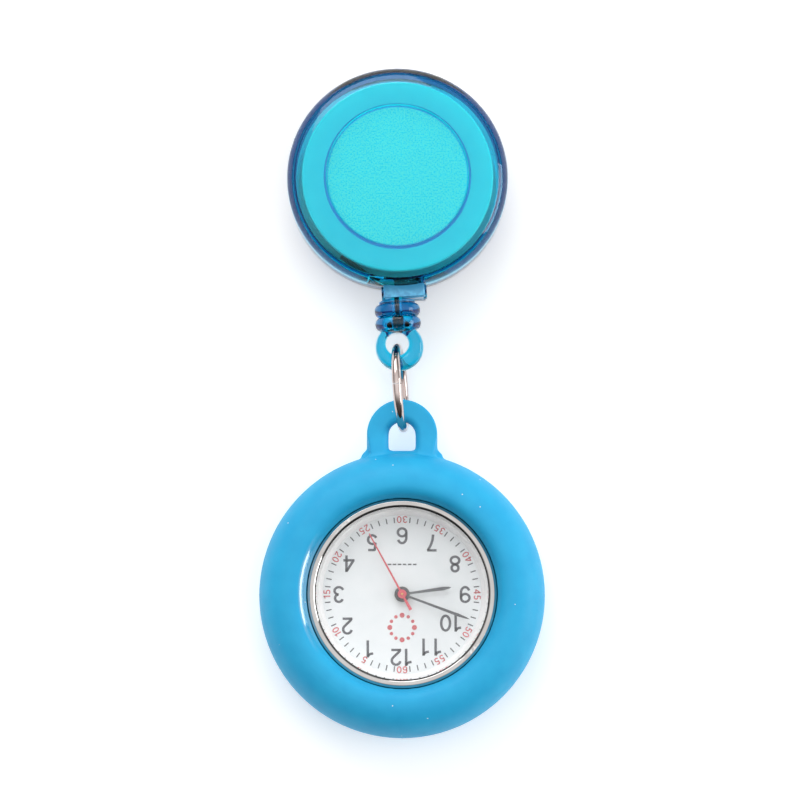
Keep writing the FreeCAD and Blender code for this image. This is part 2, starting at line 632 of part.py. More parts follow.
def main_plate():
    """Dial-side plate with pivot holes, pockets for the motion work, battery and coil, and the stem's slot."""
    places = train_places()
    blank = cylinder(PLATE_R, PLATE_Z)
    pocket = (PLATE_POCKET_Z, PLATE_Z[1] + 1)
    cuts = [cylinder(1.95, pocket), cylinder(1.85, pocket, places["minute"]),
            cylinder(1.05, pocket, places["setting"]),
            cylinder(CANNON_R - 0.1 + RUN, (4, 6)),
            cylinder(BATTERY_R + 0.15, (PLATE_Z[0] - 1, BATTERY_Z[1] + 0.1), BATTERY_AT),
            box((-5.0, COIL_Y - 1.15, PLATE_Z[0] - 1), (5.0, COIL_Y + 1.15, COIL_Z + 1.1)),
            box((2.95, -0.55, PLATE_Z[0] - 1), (PLATE_R + 1, 0.55, STEM_Z + 0.5)),
            box((CLUTCH_X[0] - 0.6, -0.85, PLATE_Z[0] - 1), (CLUTCH_X[1] + 0.2, 0.85, STEM_Z + 0.82))]
    cuts += [cylinder(ARBOR_R + 0.03, (4, 6), places[name]) for name in ("fifth", "rotor", "third")]
    cuts += [cylinder(0.4, (4, 6), polar(9.4, a)) for a in (75, 255)]
    cuts += [cylinder(0.3, (4, 6), spot) for spot in screw_places()]
    studs = [cylinder(0.2, (PLATE_POCKET_Z - 0.1, PLATE_Z[1] - 0.02), places[name])
             for name in ("minute", "setting")]
    return fused(blank.cut(cuts), *studs)


def screw_places():
    """The three bridge screws."""
    return [(4.6, 4.4), (-4.6, -2.4), (3.6, -4.2)]


def train_bridge():
    """Back-side bridge that holds the train's lower pivots."""
    places = train_places()
    outline = [(5.9, 5.4), (0.2, 5.9, 3.6, 6.6), (-1.7, 2.0), (-5.6, -1.3), (-5.6, -5.3), (4.6, -5.3),
               (5.9, -1.0)]
    cover = plate(outline, BRIDGE_Z)
    pillars = [tube(0.6, 0.3, (BRIDGE_Z[1] - 0.05, PLATE_Z[0]), spot) for spot in screw_places()]
    cuts = [cylinder(ARBOR_R + 0.03, (2, 3), places[name]) for name in ("fifth", "rotor", "third")]
    cuts.append(cylinder(SECOND_ARBOR_R + 0.03, (2, 3)))
    cuts += [cylinder(0.3, (2, 3), spot) for spot in screw_places()]
    return fused(cover, *pillars).cut(cuts)


def bridge_screws():
    """Three slotted screws, as separate solids in one group."""
    screws = []
    for spot in screw_places():
        head = cylinder(0.55, (BRIDGE_Z[0] - 0.3, BRIDGE_Z[0]), spot)
        shank = cylinder(0.28, (BRIDGE_Z[0] - 0.05, PLATE_Z[0] + 0.8), spot)
        slot = box((spot[0] - 1, spot[1] - 0.08, 2.0), (spot[0] + 1, spot[1] + 0.08, BRIDGE_Z[0] - 0.18))
        screws.append(fused(head, shank).cut(slot))
    return Part.makeCompound(screws)


def stator():
    """Soft iron stator: a bridge round the rotor with two lugs under the coil's core."""
    x, y = train_places()["rotor"]
    lug, foot = LUG_X
    low = COIL_Y - 0.6
    outline = [(-foot, low), (-lug, low), (-lug, -5.5), (x - 1.0, y - 1.05), (x + 1.0, y - 1.05),
               (lug, -5.5), (lug, low), (foot, low), (foot, -4.9), (x + 1.05, y + 1.1), (x - 1.05, y + 1.1),
               (-foot, -4.9)]
    sheet = plate(outline, (3.88, 4.24))
    gap = box((x - 0.1, y - 1.1, 3), (x + 0.1, y - 0.7, 5))
    return sheet.cut([cylinder(0.8, (3, 5), (x, y)), gap, cylinder(0.65, (3, 5), screw_places()[2])])


def coil_core():
    """Flat iron core with a foot at each end on the stator's lugs."""
    lug, foot = LUG_X
    z = (COIL_Z - 0.18, 3.88)
    feet = [box((side * 0.5 * (lug + foot) - 0.6, COIL_Y - 0.6, z[0]),
                (side * 0.5 * (lug + foot) + 0.6, COIL_Y + 0.9, z[1])) for side in (-1, 1)]
    return fused(box((-foot, COIL_Y - 0.3, z[0]), (foot, COIL_Y + 0.3, z[1])), *feet)


def coil():
    """Copper winding on the core."""
    reach = LUG_X[0] - 0.2
    body = rod(0.95, vec(-reach, COIL_Y, COIL_Z), vec(reach, COIL_Y, COIL_Z))
    return body.cut(box((-6, COIL_Y - 0.3, COIL_Z - 0.18), (6, COIL_Y + 0.3, 3.88)))


def battery():
    """Silver oxide button cell, with its smaller negative cap towards the back."""
    low, high = BATTERY_Z
    cell = lathe([(0, low), (2.6, low), (2.75, low + 0.35), (BATTERY_R - 0.35, low + 0.35),
                  (BATTERY_R, low + 0.7), (BATTERY_R, high), (0, high)])
    return cell.translated(vec(*BATTERY_AT))


def battery_clamp():
    """Sprung steel strap that holds the cell and takes its negative side."""
    x, y = BATTERY_AT
    strap = plate([(x - 1.1, y + 1.2), (x + 3.9, y + 2.6), (x + 4.5, y + 1.4), (x + 0.9, y - 1.0),
                   (x - 1.1, y - 0.6, x - 0.4, y - 1.3)], (BATTERY_Z[0] - 0.2, BATTERY_Z[0] - 0.02))
    return turned(strap, 90, BATTERY_AT)


def circuit_board():
    """Thin board beside the stem, with its chip under a drop of resin."""
    board = plate([(6.3, -5.2), (8.6, -5.2), (9.9, -2.2, 9.55, -3.9), (9.9, 2.2), (8.6, 5.2, 9.55, 3.9),
                   (6.3, 5.2)], BRIDGE_Z)
    resin = Part.makeCone(1.1, 0.7, 0.6, vec(8.0, 3.0, BRIDGE_Z[1] - 0.01))
    return fused(board, resin)


def crystal_can():
    """Metal can of the quartz crystal."""
    can = rod(0.65, vec(7.9, -5.0, 3.6), vec(7.9, -1.0, 3.6))
    return can.makeFillet(0.25, [e for e in can.Edges if isinstance(e.Curve, Part.Circle)])


def movement_holder():
    """White plastic ring that centres the movement in the head."""
    ring = tube(BORE_R - 0.05, PLATE_R + 0.05, (BACK_Z + 1.35, PLATE_Z[1]))
    return ring.cut(rod(STEM_R + 0.3, vec(9, 0, STEM_Z), vec(13, 0, STEM_Z)))


def stem():
    """Winding stem: a groove for the setting lever, and a square inner end for the sliding pinion."""
    shaft = rod(STEM_R, vec(6.6, 0, STEM_Z), vec(CROWN_X[0] + 0.3, 0, STEM_Z))
    pilot = rod(0.2, vec(3.4, 0, STEM_Z), vec(4.0, 0, STEM_Z))
    half = STEM_SQUARE / 2
    square = box((3.9, -half, STEM_Z - half), (6.7, half, STEM_Z + half))
    groove = rod(STEM_R + 0.2, vec(7.6, 0, STEM_Z), vec(8.1, 0, STEM_Z))
    return fused(shaft, square, pilot).cut(groove.cut(rod(0.24, vec(7, 0, STEM_Z), vec(9, 0, STEM_Z))))


def sliding_pinion():
    """Clutch on the stem's square, with face teeth for the setting wheel and a groove for the yoke."""
    x0, x1 = CLUTCH_X
    blank = rod(CLUTCH_R, vec(x0, 0, STEM_Z), vec(x1, 0, STEM_Z))
    gaps = [box((x0 - 1, -0.12, STEM_Z + 0.35), (x0 + 0.3, 0.12, STEM_Z + 0.9)) for _ in range(8)]
    for i, tooth_gap in enumerate(gaps):
        tooth_gap.rotate(vec(0, 0, STEM_Z), vec(1, 0, 0), 45 * i)
    groove = rod(1, vec(x0 + 0.6, 0, STEM_Z), vec(x0 + 0.9, 0, STEM_Z))
    groove = groove.cut(rod(CLUTCH_R - 0.22, vec(x0, 0, STEM_Z), vec(x1, 0, STEM_Z)))
    half = STEM_SQUARE / 2 + 0.02
    return blank.cut([*gaps, groove, box((x0 - 1, -half, STEM_Z - half), (x1 + 1, half, STEM_Z + half))])


def yoke():
    """Fork that stands in the sliding pinion's groove and shifts it as the crown is pulled."""
    x = CLUTCH_X[0] + 0.65
    arm = box((x, -0.8, STEM_Z - 1.15), (x + 0.2, 0.8, STEM_Z))
    slot = rod(CLUTCH_R - 0.17, vec(x - 1, 0, STEM_Z), vec(x + 1, 0, STEM_Z))
    mouth = box((x - 1, 0.17 - CLUTCH_R, STEM_Z), (x + 1, CLUTCH_R - 0.17, STEM_Z + 1))
    foot = box((x, -0.8, STEM_Z - 1.15), (x + 1.1, 0.8, STEM_Z - 0.95))
    return fused(arm, foot).cut([slot, mouth])


def setting_lever():
    """Lever that rides in the stem's groove and moves out with it."""
    arm = box((7.68, -0.5, STEM_Z - 1.05), (8.02, 0.5, STEM_Z + 0.3))
    slot = box((7, -0.29, STEM_Z - 0.3), (9, 0.29, STEM_Z + 1))
    foot = box((7.05, -0.5, STEM_Z - 1.25), (8.02, 0.5, STEM_Z - 1.0))
    return fused(arm, foot).cut(slot)


def crown():
    """Knurled crown with a skirt over the stem's tube."""
    x0, x1 = CROWN_X
    knob = rod(CROWN_R, vec(x0, 0, STEM_Z), vec(x1, 0, STEM_Z))
    outer = [e for e in knob.Edges if isinstance(e.Curve, Part.Circle) and e.BoundBox.XMin > x1 - 0.1]
    knob = knob.makeFillet(0.35, outer)
    flutes = []
    for i in range(24):
        y, z = polar(CROWN_R + 0.06, 15 * i)
        flutes.append(rod(0.13, vec(x0 - 1, y, STEM_Z + z), vec(x1 - 0.3, y, STEM_Z + z)))
    bore = rod(STEM_R, vec(x0 - 1, 0, STEM_Z), vec(x0 + 0.3, 0, STEM_Z))
    return knob.cut([*flutes, bore])


def crown_seal():
    """O-ring on the stem inside the tube's mouth."""
    return rod(STEM_R + 0.3, vec(HEAD_R + 0.02, 0, STEM_Z), vec(CROWN_X[0], 0, STEM_Z)).cut(
        rod(STEM_R, vec(HEAD_R - 1, 0, STEM_Z), vec(CROWN_X[0] + 1, 0, STEM_Z)))


# ---- hands --------------------------------------------------------------------------------------------
def hand(length, root, wide, hub, bore, z):
    """A slim hand that widens to a point, pointing at twelve."""
    blade = plate([(-root, 0), (-wide, 0.86 * length), (0, length), (wide, 0.86 * length), (root, 0)], z)
    return fused(blade, cylinder(hub, z)).cut(cylinder(bore, (z[0] - 1, z[1] + 1)))


def hour_hand():
    return turned(hand(7.2, 0.12, 0.19, 1.15, HOUR_TUBE_R, (6.55, 6.67)), -HOUR_HAND_DEG)


def minute_hand():
    return turned(hand(10.3, 0.12, 0.19, 0.85, CANNON_R, (6.92, 7.02)), -MINUTE_HAND_DEG)


def second_hand():
    """Fine tapered needle with a flat counterweight and a round boss."""
    z = (7.3, 7.38)
    needle = plate([(-0.13, 0), (-0.05, 9.85), (0.05, 9.85), (0.13, 0)], z)
    tail = plate([(-0.13, 0), (-0.21, -2.6), (0.21, -2.6), (0.13, 0)], z)
    boss = cylinder(0.64, (z[0], z[1] + 0.12))
    return turned(fused(needle, tail, boss).cut(cylinder(SECOND_ARBOR_R, (7, 8))), -SECOND_HAND_DEG)


# ---- assembly -----------------------------------------------------------------------------------------
REEL_PIECES = (front_cover, back_shell, spool, power_spring, cord_winding, cord_lead, cord_tail, cord_knot,
               clip_base, clip_leaf, clip_rivet, end_fitting)
WATCH_PIECES = (watch_case, stem_tube, case_back, back_gasket, crystal, crystal_gasket, dial_ring, dial, rotor,
                fifth_wheel, second_wheel, third_wheel, centre_wheel, minute_wheel, hour_wheel, setting_wheel,
                main_plate, train_bridge, bridge_screws, stator, coil_core, coil, battery, battery_clamp,
                circuit_board, crystal_can, movement_holder, stem, sliding_pinion, yoke, setting_lever, crown,
                crown_seal, hour_hand, minute_hand, second_hand)


def write(name, shape, centre=(0.0, 0.0), turn=0.0):
    """Places a piece, checks that it is made of sound solids and writes its STEP file."""
    placed = shape.copy()
    placed.rotate(vec(0, 0), vec(0, 0, 1), turn)
    placed.translate(vec(*centre))
    solids = placed.Solids
    if not solids or not all(s.isValid() and s.Volume > 0 for s in solids):
        raise ValueError(name + " isn't made of sound solids")
    whole = solids[0] if len(solids) == 1 else Part.makeCompound(solids)
    whole.exportStep(os.path.join("parts", name + ".step"))
    box_ = whole.BoundBox
    print(f"{name:16s} solids {len(solids)} volume {whole.Volume:9.3f} z {box_.ZMin:6.2f} {box_.ZMax:6.2f}")


def main():
    os.makedirs("parts", exist_ok=True)
    for piece in REEL_PIECES:
        write(piece.__name__, piece(), REEL_CENTRE, REEL_TURN)
    write("steel_ring", steel_ring())
    # the watch hangs with twelve o'clock away from the reel
    write("silicone_case", silicone_case(), CASE_CENTRE, 180)
    for piece in WATCH_PIECES:
        write(piece.__name__, piece(), CASE_CENTRE, 180)


main()
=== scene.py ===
"""Looks of a clip-on fob watch: a clear blue retractable reel, an eye fitting, a steel ring and a watch head
in a soft blue case. The CAD model is the frame. Each sub-assembly's class builds and dresses its own pieces.

Lengths in the classes are millimetres, and the meshes are in metres.
"""

import json
import logging
import math
from dataclasses import dataclass
from enum import Enum
from typing import Callable, Iterable, Sequence

import bmesh
import bpy
from mathutils import Matrix, Vector

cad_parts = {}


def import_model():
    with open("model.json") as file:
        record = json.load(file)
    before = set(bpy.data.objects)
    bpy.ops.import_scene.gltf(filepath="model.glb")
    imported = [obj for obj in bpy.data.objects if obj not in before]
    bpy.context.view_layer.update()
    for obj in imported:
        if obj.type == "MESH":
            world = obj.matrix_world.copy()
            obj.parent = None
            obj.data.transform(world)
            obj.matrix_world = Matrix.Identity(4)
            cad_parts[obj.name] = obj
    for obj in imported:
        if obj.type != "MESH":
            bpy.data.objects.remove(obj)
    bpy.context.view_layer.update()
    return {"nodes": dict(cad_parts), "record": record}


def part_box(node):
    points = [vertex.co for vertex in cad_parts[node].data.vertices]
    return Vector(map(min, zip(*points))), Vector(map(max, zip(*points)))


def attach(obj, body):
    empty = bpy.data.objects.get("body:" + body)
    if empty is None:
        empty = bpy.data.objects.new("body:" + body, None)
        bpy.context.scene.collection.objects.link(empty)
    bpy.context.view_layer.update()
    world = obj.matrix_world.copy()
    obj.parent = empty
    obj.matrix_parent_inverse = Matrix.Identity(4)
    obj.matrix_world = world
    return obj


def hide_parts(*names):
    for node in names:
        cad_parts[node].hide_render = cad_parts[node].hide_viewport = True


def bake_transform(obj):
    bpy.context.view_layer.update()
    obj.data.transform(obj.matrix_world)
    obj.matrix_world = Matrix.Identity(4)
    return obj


log = logging.getLogger("fob_watch")

MM = 0.001
TINY = 1e-6
Point2 = tuple[float, float]
Point3 = tuple[float, float, float]
Corner = tuple[float, ...]
Colour = tuple[int, int, int]
Rings = list[list[bmesh.types.BMVert]]


# ---- geometry -----------------------------------------------------------------------------------------
@dataclass(frozen=True)
class Place:
    """Where a sub-assembly stands: its centre and its turn about the upright axis."""

    x: float
    y: float
    turn: float = 0.0

    def matrix(self) -> Matrix:
        """The placement from the sub-assembly's own frame to the model's, in millimetres."""
        return Matrix.Translation((self.x, self.y, 0.0)) @ Matrix.Rotation(math.radians(self.turn), 4, "Z")

    def point(self, x: float, y: float, z: float) -> Vector:
        """A point of the sub-assembly's frame, in the model's frame and in metres."""
        return (self.matrix() @ Vector((x, y, z))) * MM


def polar(radius: float, degrees: float) -> Point2:
    """A point at a radius and an angle."""
    return radius * math.cos(math.radians(degrees)), radius * math.sin(math.radians(degrees))


def arc(cx: float, cy: float, rx: float, ry: float, start: float, end: float,
        steps: int = 12) -> list[Point2]:
    """Points along an elliptic arc, both ends included."""
    angles = [math.radians(start + (end - start) * i / steps) for i in range(steps + 1)]
    return [(cx + rx * math.cos(a), cy + ry * math.sin(a)) for a in angles]


def around(count: int) -> list[float]:
    """Even angles round a circle, in radians."""
    return [2 * math.pi * k / count for k in range(count)]


def curve_through(start: Vector, corner: Vector, end: Vector, steps: int) -> list[Vector]:
    """A smooth bend that leaves one point towards a corner and arrives at the other, both ends included."""
    shares = [k / steps for k in range(steps + 1)]
    return [start * (1 - t) ** 2 + corner * 2 * t * (1 - t) + end * t ** 2 for t in shares]


def rounded(corners: Sequence[Corner], steps: int = 5, closed: bool = True) -> list[Point2]:
    """Rounds the corners of an outline.

    Args:
        corners: (a, b) for a sharp corner, or (a, b, radius) for a rounded one.
        steps: straight pieces in each rounded corner.
        closed: whether the last corner joins the first; an open outline's ends stay sharp.

    Returns:
        The outline's points.
    """
    most_of_a_side = 0.48
    points: list[Point2] = []
    count = len(corners)
    for i, corner in enumerate(corners):
        here = Vector(corner[:2])
        is_end = not closed and i in (0, count - 1)
        if is_end or len(corner) < 3:
            points.append((here.x, here.y))
            continue
        before = Vector(corners[i - 1][:2]) - here
        after = Vector(corners[(i + 1) % count][:2]) - here
        reach = min(corner[2] / math.tan(before.angle(after) / 2), most_of_a_side * before.length,
                    most_of_a_side * after.length)
        start, end = here + before.normalized() * reach, here + after.normalized() * reach
        points += [(spot.x, spot.y) for spot in curve_through(start, here, end, steps)]
    return points


def make_object(name: str, mesh: bpy.types.Mesh, smooth_to: float = 40.0) -> bpy.types.Object:
    """Links a mesh as an object, shaded smooth.

    Args:
        name: the object's name.
        mesh: its mesh, in metres.
        smooth_to: edges sharper than this angle stay sharp.

    Returns:
        The object.
    """
    mesh.polygons.foreach_set("use_smooth", [True] * len(mesh.polygons))
    mesh.set_sharp_from_angle(angle=math.radians(smooth_to))
    made = bpy.data.objects.new(name, mesh)
    bpy.context.scene.collection.objects.link(made)
    return made


def from_bmesh(name: str, bm: bmesh.types.BMesh, place: Place | None = None,
               smooth_to: float = 40.0) -> bpy.types.Object:
    """Turns a bmesh in millimetres into an object in metres, at a place.

    Args:
        name: the object's name.
        bm: the shape, which is freed.
        place: where its sub-assembly stands, or none if it is in the model's frame already.
        smooth_to: edges sharper than this angle stay sharp.

    Returns:
        The object.
    """
    if place is not None:
        bm.transform(place.matrix())
    bm.normal_update()
    bmesh.ops.recalc_face_normals(bm, faces=bm.faces)
    bm.transform(Matrix.Diagonal((MM, MM, MM, 1)))
    mesh = bpy.data.meshes.new(name)
    bm.to_mesh(mesh)
    bm.free()
    return make_object(name, mesh, smooth_to)


def skin(bm: bmesh.types.BMesh, rings: Rings, closed: bool = False) -> list[bmesh.types.BMFace]:
    """Joins successive rings of vertices with faces.

    Args:
        bm: the mesh to add to.
        rings: loops with the same number of vertices.
        closed: whether the last ring joins the first; if not, both ends are capped.

    Returns:
        The caps.
    """
    count, sides = len(rings), len(rings[0])
    for i in range(count if closed else count - 1):
        ring, following = rings[i], rings[(i + 1) % count]
        for k in range(sides):
            n = (k + 1) % sides
            bm.faces.new((ring[k], ring[n], following[n], following[k]))
    return [] if closed else [bm.faces.new(rings[0][::-1]), bm.faces.new(rings[-1])]


def bevel(bm: bmesh.types.BMesh, edges: Iterable[bmesh.types.BMEdge], width: float, segments: int) -> None:
    """Rounds edges over."""
    bmesh.ops.bevel(bm, geom=list(edges), offset=width, segments=segments, affect="EDGES")


def level_edges(bm: bmesh.types.BMesh) -> list[bmesh.types.BMEdge]:
    """The edges that lie level."""
    return [e for e in bm.edges if abs(e.verts[0].co.z - e.verts[1].co.z) < TINY]


def lathe_bmesh(profile: Sequence[Point2], segments: int = 160, bm: bmesh.types.BMesh | None = None,
                move: Matrix | None = None) -> bmesh.types.BMesh:
    """Turns a closed profile of (radius, height) points about Z, as a closed mesh.

    Args:
        profile: the outline; points with no radius become one vertex on the axis.
        segments: divisions round the axis.
        bm: a bmesh to add to.
        move: a placement of this body before it is added.

    Returns:
        The bmesh.
    """
    bm = bm or bmesh.new()
    move = move or Matrix.Identity(4)
    rings: Rings = []
    for radius, height in profile:
        if radius < TINY:
            rings.append([bm.verts.new(move @ Vector((0, 0, height)))])
            continue
        rings.append([bm.verts.new(move @ Vector((radius * math.cos(a), radius * math.sin(a), height)))
                      for a in around(segments)])
    for i, ring in enumerate(rings):
        following = rings[(i + 1) % len(rings)]
        if len(ring) == 1 and len(following) == 1:
            continue
        for k in range(segments):
            n = (k + 1) % segments
            if len(ring) == 1:
                bm.faces.new((ring[0], following[k], following[n]))
            elif len(following) == 1:
                bm.faces.new((ring[k], ring[n], following[0]))
            else:
                bm.faces.new((ring[k], ring[n], following[n], following[k]))
    return bm


def lathe(name: str, corners: Sequence[Corner], place: Place, segments: int = 160) -> bpy.types.Object:
    """A turned piece from a profile of corners with rounding radii."""
    return from_bmesh(name, lathe_bmesh(rounded(corners), segments), place)


def prism_bmesh(outline: Sequence[Point2], low: float, high: float,
                bm: bmesh.types.BMesh | None = None) -> bmesh.types.BMesh:
    """A closed prism on an outline.

    Args:
        outline: its corners, in order.
        low: height of its underside.
        high: height of its top.
        bm: a bmesh to add to.

    Returns:
        The bmesh.
    """
    bm = bm or bmesh.new()
    count = len(outline)
    bottom = [bm.verts.new((x, y, low)) for x, y in outline]
    top = [bm.verts.new((x, y, high)) for x, y in outline]
    bm.faces.new(top)
    bm.faces.new(bottom[::-1])
    for i in range(count):
        n = (i + 1) % count
        bm.faces.new((bottom[i], bottom[n], top[n], top[i]))
    return bm


def tube_bmesh(path: Sequence[Vector], radius: float, sides: int = 16,
               closed: bool = False) -> bmesh.types.BMesh:
    """A round tube along a path, in millimetres, with flat ends unless it is closed.

    Args:
        path: its middle line.
        radius: half its thickness.
        sides: divisions round it.
        closed: whether its end joins its start.

    Returns:
        The tube.
    """
    upright = 1e-4
    bm = bmesh.new()
    count = len(path)
    rings: Rings = []
    for i, spot in enumerate(path):
        before = path[i - 1] if closed or i > 0 else path[0]
        after = path[(i + 1) % count] if closed or i < count - 1 else path[-1]
        along = (after - before).normalized()
        side = along.cross(Vector((0, 0, 1)))
        if side.length < upright:
            side = along.cross(Vector((1, 0, 0)))
        side.normalize()
        third = side.cross(along).normalized()
        rings.append([bm.verts.new(spot + side * radius * math.cos(a) + third * radius * math.sin(a))
                      for a in around(sides)])
    skin(bm, rings, closed)
    return bm


def modify(piece: bpy.types.Object, kind: str, **settings: object) -> None:
    """Adds a modifier and applies it.

    Args:
        piece: the object.
        kind: the modifier's type.
        **settings: its settings.
    """
    modifier = piece.modifiers.new(kind.lower(), kind)
    for key, value in settings.items():
        setattr(modifier, key, value)
    with bpy.context.temp_override(object=piece, active_object=piece, selected_objects=[piece]):
        bpy.ops.object.modifier_apply(modifier=modifier.name)


def joined(piece: bpy.types.Object, other: bpy.types.Object, how: str) -> None:
    """Applies a boolean of another object to a piece and removes the other."""
    modify(piece, "BOOLEAN", operation=how, object=other, solver="MANIFOLD")
    bpy.data.objects.remove(other)


# ---- shader groups ------------------------------------------------------------------------------------
class Graph:
    """Adds nodes to one node tree and joins them."""

    def __init__(self, tree: bpy.types.NodeTree) -> None:
        """Keeps the tree."""
        self.tree = tree

    def feed(self, value: object, socket: bpy.types.NodeSocket) -> None:
        """Links an output socket to an input, or sets the input if the value isn't a socket.

        Args:
            value: an output socket, a number or a colour.
            socket: the input.
        """
        if isinstance(value, bpy.types.NodeSocket):
            self.tree.links.new(value, socket)
        else:
            socket.default_value = value

    def add(self, kind: str, values: dict[str, object] | None = None, **settings: object) -> bpy.types.Node:
        """Adds a node.

        Args:
            kind: the node's type.
            values: what feeds each input, by the input's name or number.
            **settings: the node's own settings.

        Returns:
            The node.
        """
        node = self.tree.nodes.new(kind)
        for key, value in settings.items():
            setattr(node, key, value)
        for key, value in (values or {}).items():
            self.feed(value, node.inputs[int(key)] if key.isdigit() else node.inputs[key])
        return node

    def group(self, name: str, values: dict[str, object] | None = None) -> bpy.types.Node:
        """A node of a shared group, which is built on its first use."""
        tree = bpy.data.node_groups.get(name) or GROUPS[name]()
        return self.add("ShaderNodeGroup", values, node_tree=tree)

    def math(self, operation: str, a: object, b: object = 0.0, clamp: bool = False) -> bpy.types.NodeSocket:
        """A maths node's result."""
        return self.add("ShaderNodeMath", {"0": a, "1": b}, operation=operation, use_clamp=clamp).outputs[0]

    def spread(self, value: object, low: float, high: float, to_low: float = 0.0,
               to_high: float = 1.0) -> bpy.types.NodeSocket:
        """A value mapped from one range to another, and clamped."""
        return self.add("ShaderNodeMapRange", {"Value": value, "From Min": low, "From Max": high,
                                               "To Min": to_low, "To Max": to_high}).outputs[0]

    def noise(self, spot: object, scale: object, detail: float, **more: float) -> bpy.types.NodeSocket:
        """A noise texture's value."""
        values = {"Vector": spot, "Scale": scale, "Detail": detail, **more}
        return self.add("ShaderNodeTexNoise", values).outputs[0]

    def blend(self, factor: object, a: object, b: object) -> bpy.types.NodeSocket:
        """Mixes two colours.

        Args:
            factor: the second colour's share.
            a: the first colour.
            b: the second colour.

        Returns:
            The mixed colour.
        """
        node = self.add("ShaderNodeMix", data_type="RGBA")
        for index, value in ((0, factor), (6, a), (7, b)):
            self.feed(value, node.inputs[index])
        return node.outputs[2]

    def point(self, x: float = 1.0, y: float = 1.0, z: float = 1.0) -> bpy.types.NodeSocket:
        """The surface point in millimetres in the piece's own frame, stretched along each axis."""
        spot = self.add("ShaderNodeTexCoord").outputs["Object"]
        return self.add("ShaderNodeMapping", {"Vector": spot, "Scale": (x / MM, y / MM, z / MM)}).outputs[0]


class GroupGraph(Graph):
    """The graph of a new shader group with named number sockets."""

    def __init__(self, name: str, inputs: dict[str, float]) -> None:
        """Makes the group.

        Args:
            name: its name.
            inputs: each input and its usual value.
        """
        super().__init__(bpy.data.node_groups.new(name, "ShaderNodeTree"))
        for key, value in inputs.items():
            self.socket(key, "INPUT").default_value = value
        self.given = self.add("NodeGroupInput").outputs

    def socket(self, name: str, side: str) -> bpy.types.NodeTreeInterfaceSocket:
        """A new number socket of the group."""
        return self.tree.interface.new_socket(name=name, in_out=side, socket_type="NodeSocketFloat")

    def ended(self, **results: bpy.types.NodeSocket) -> bpy.types.NodeTree:
        """Adds the group's outputs.

        Args:
            **results: what feeds each output.

        Returns:
            The group's tree.
        """
        for key in results:
            self.socket(key, "OUTPUT")
        self.add("NodeGroupOutput", results)
        return self.tree


def grain_group() -> bpy.types.NodeTree:
    """Fine random texture of a moulded or painted face.

    Returns:
        The new group, which puts out a height and a mottling mask.
    """
    graph = GroupGraph("Fine grain", {"Per mm": 8.0, "Depth": 1.0})
    spot = graph.point()
    fine = graph.noise(spot, graph.given["Per mm"], 3.0, Roughness=0.6)
    broad = graph.noise(spot, 0.35, 2.0)
    return graph.ended(Height=graph.math("MULTIPLY", fine, graph.given["Depth"]),
                       Mottle=graph.spread(broad, 0.35, 0.65))


def handling_group() -> bpy.types.NodeTree:
    """Faint smears and hairlines left by handling.

    Returns:
        The new group, which puts out a roughness.
    """
    graph = GroupGraph("Handling marks", {"Clean": 0.3, "Amount": 0.1})
    smear = graph.spread(graph.noise(graph.point(), 0.6, 4.0, Distortion=1.2), 0.45, 0.75)
    hair = graph.spread(graph.noise(graph.point(0.35, 6.0, 2.0), 1.3, 3.0), 0.66, 0.72, 0.0, 0.6)
    added = graph.math("MULTIPLY", graph.math("MAXIMUM", smear, hair), graph.given["Amount"])
    return graph.ended(Roughness=graph.math("ADD", added, graph.given["Clean"], clamp=True))


def dust_group() -> bpy.types.NodeTree:
    """Sparse specks of lint and dust.

    Returns:
        The new group, which puts out a mask.
    """
    graph = GroupGraph("Dust specks", {"Per mm": 0.8, "Size": 0.07, "Clean share": 0.8})
    cells = graph.add("ShaderNodeTexVoronoi", {"Vector": graph.point(), "Scale": graph.given["Per mm"]})
    shade = graph.add("ShaderNodeSeparateColor", {"Color": cells.outputs["Color"]}).outputs[0]
    chosen = graph.math("GREATER_THAN", shade, graph.given["Clean share"])
    small = graph.math("LESS_THAN", cells.outputs["Distance"], graph.given["Size"])
    return graph.ended(Mask=graph.math("MULTIPLY", chosen, small))


def wear_group() -> bpy.types.NodeTree:
    """Rubbed edges, broken up by noise.

    Returns:
        The new group, which puts out a mask.
    """
    graph = GroupGraph("Edge wear", {"Amount": 0.5})
    raised = graph.spread(graph.add("ShaderNodeNewGeometry").outputs["Pointiness"], 0.52, 0.62)
    patch = graph.spread(graph.noise(graph.point(), 1.7, 4.0), 0.4, 0.6)
    worn = graph.math("MULTIPLY", raised, patch)
    return graph.ended(Mask=graph.math("MULTIPLY", worn, graph.given["Amount"], clamp=True))


def brushing_group() -> bpy.types.NodeTree:
    """Straight brushing along Y.

    Returns:
        The new group, which puts out a height.
    """
    graph = GroupGraph("Straight brushing", {"Per mm": 18.0})
    return graph.ended(Height=graph.noise(graph.point(1.0, 0.03, 1.0), graph.given["Per mm"], 4.0))


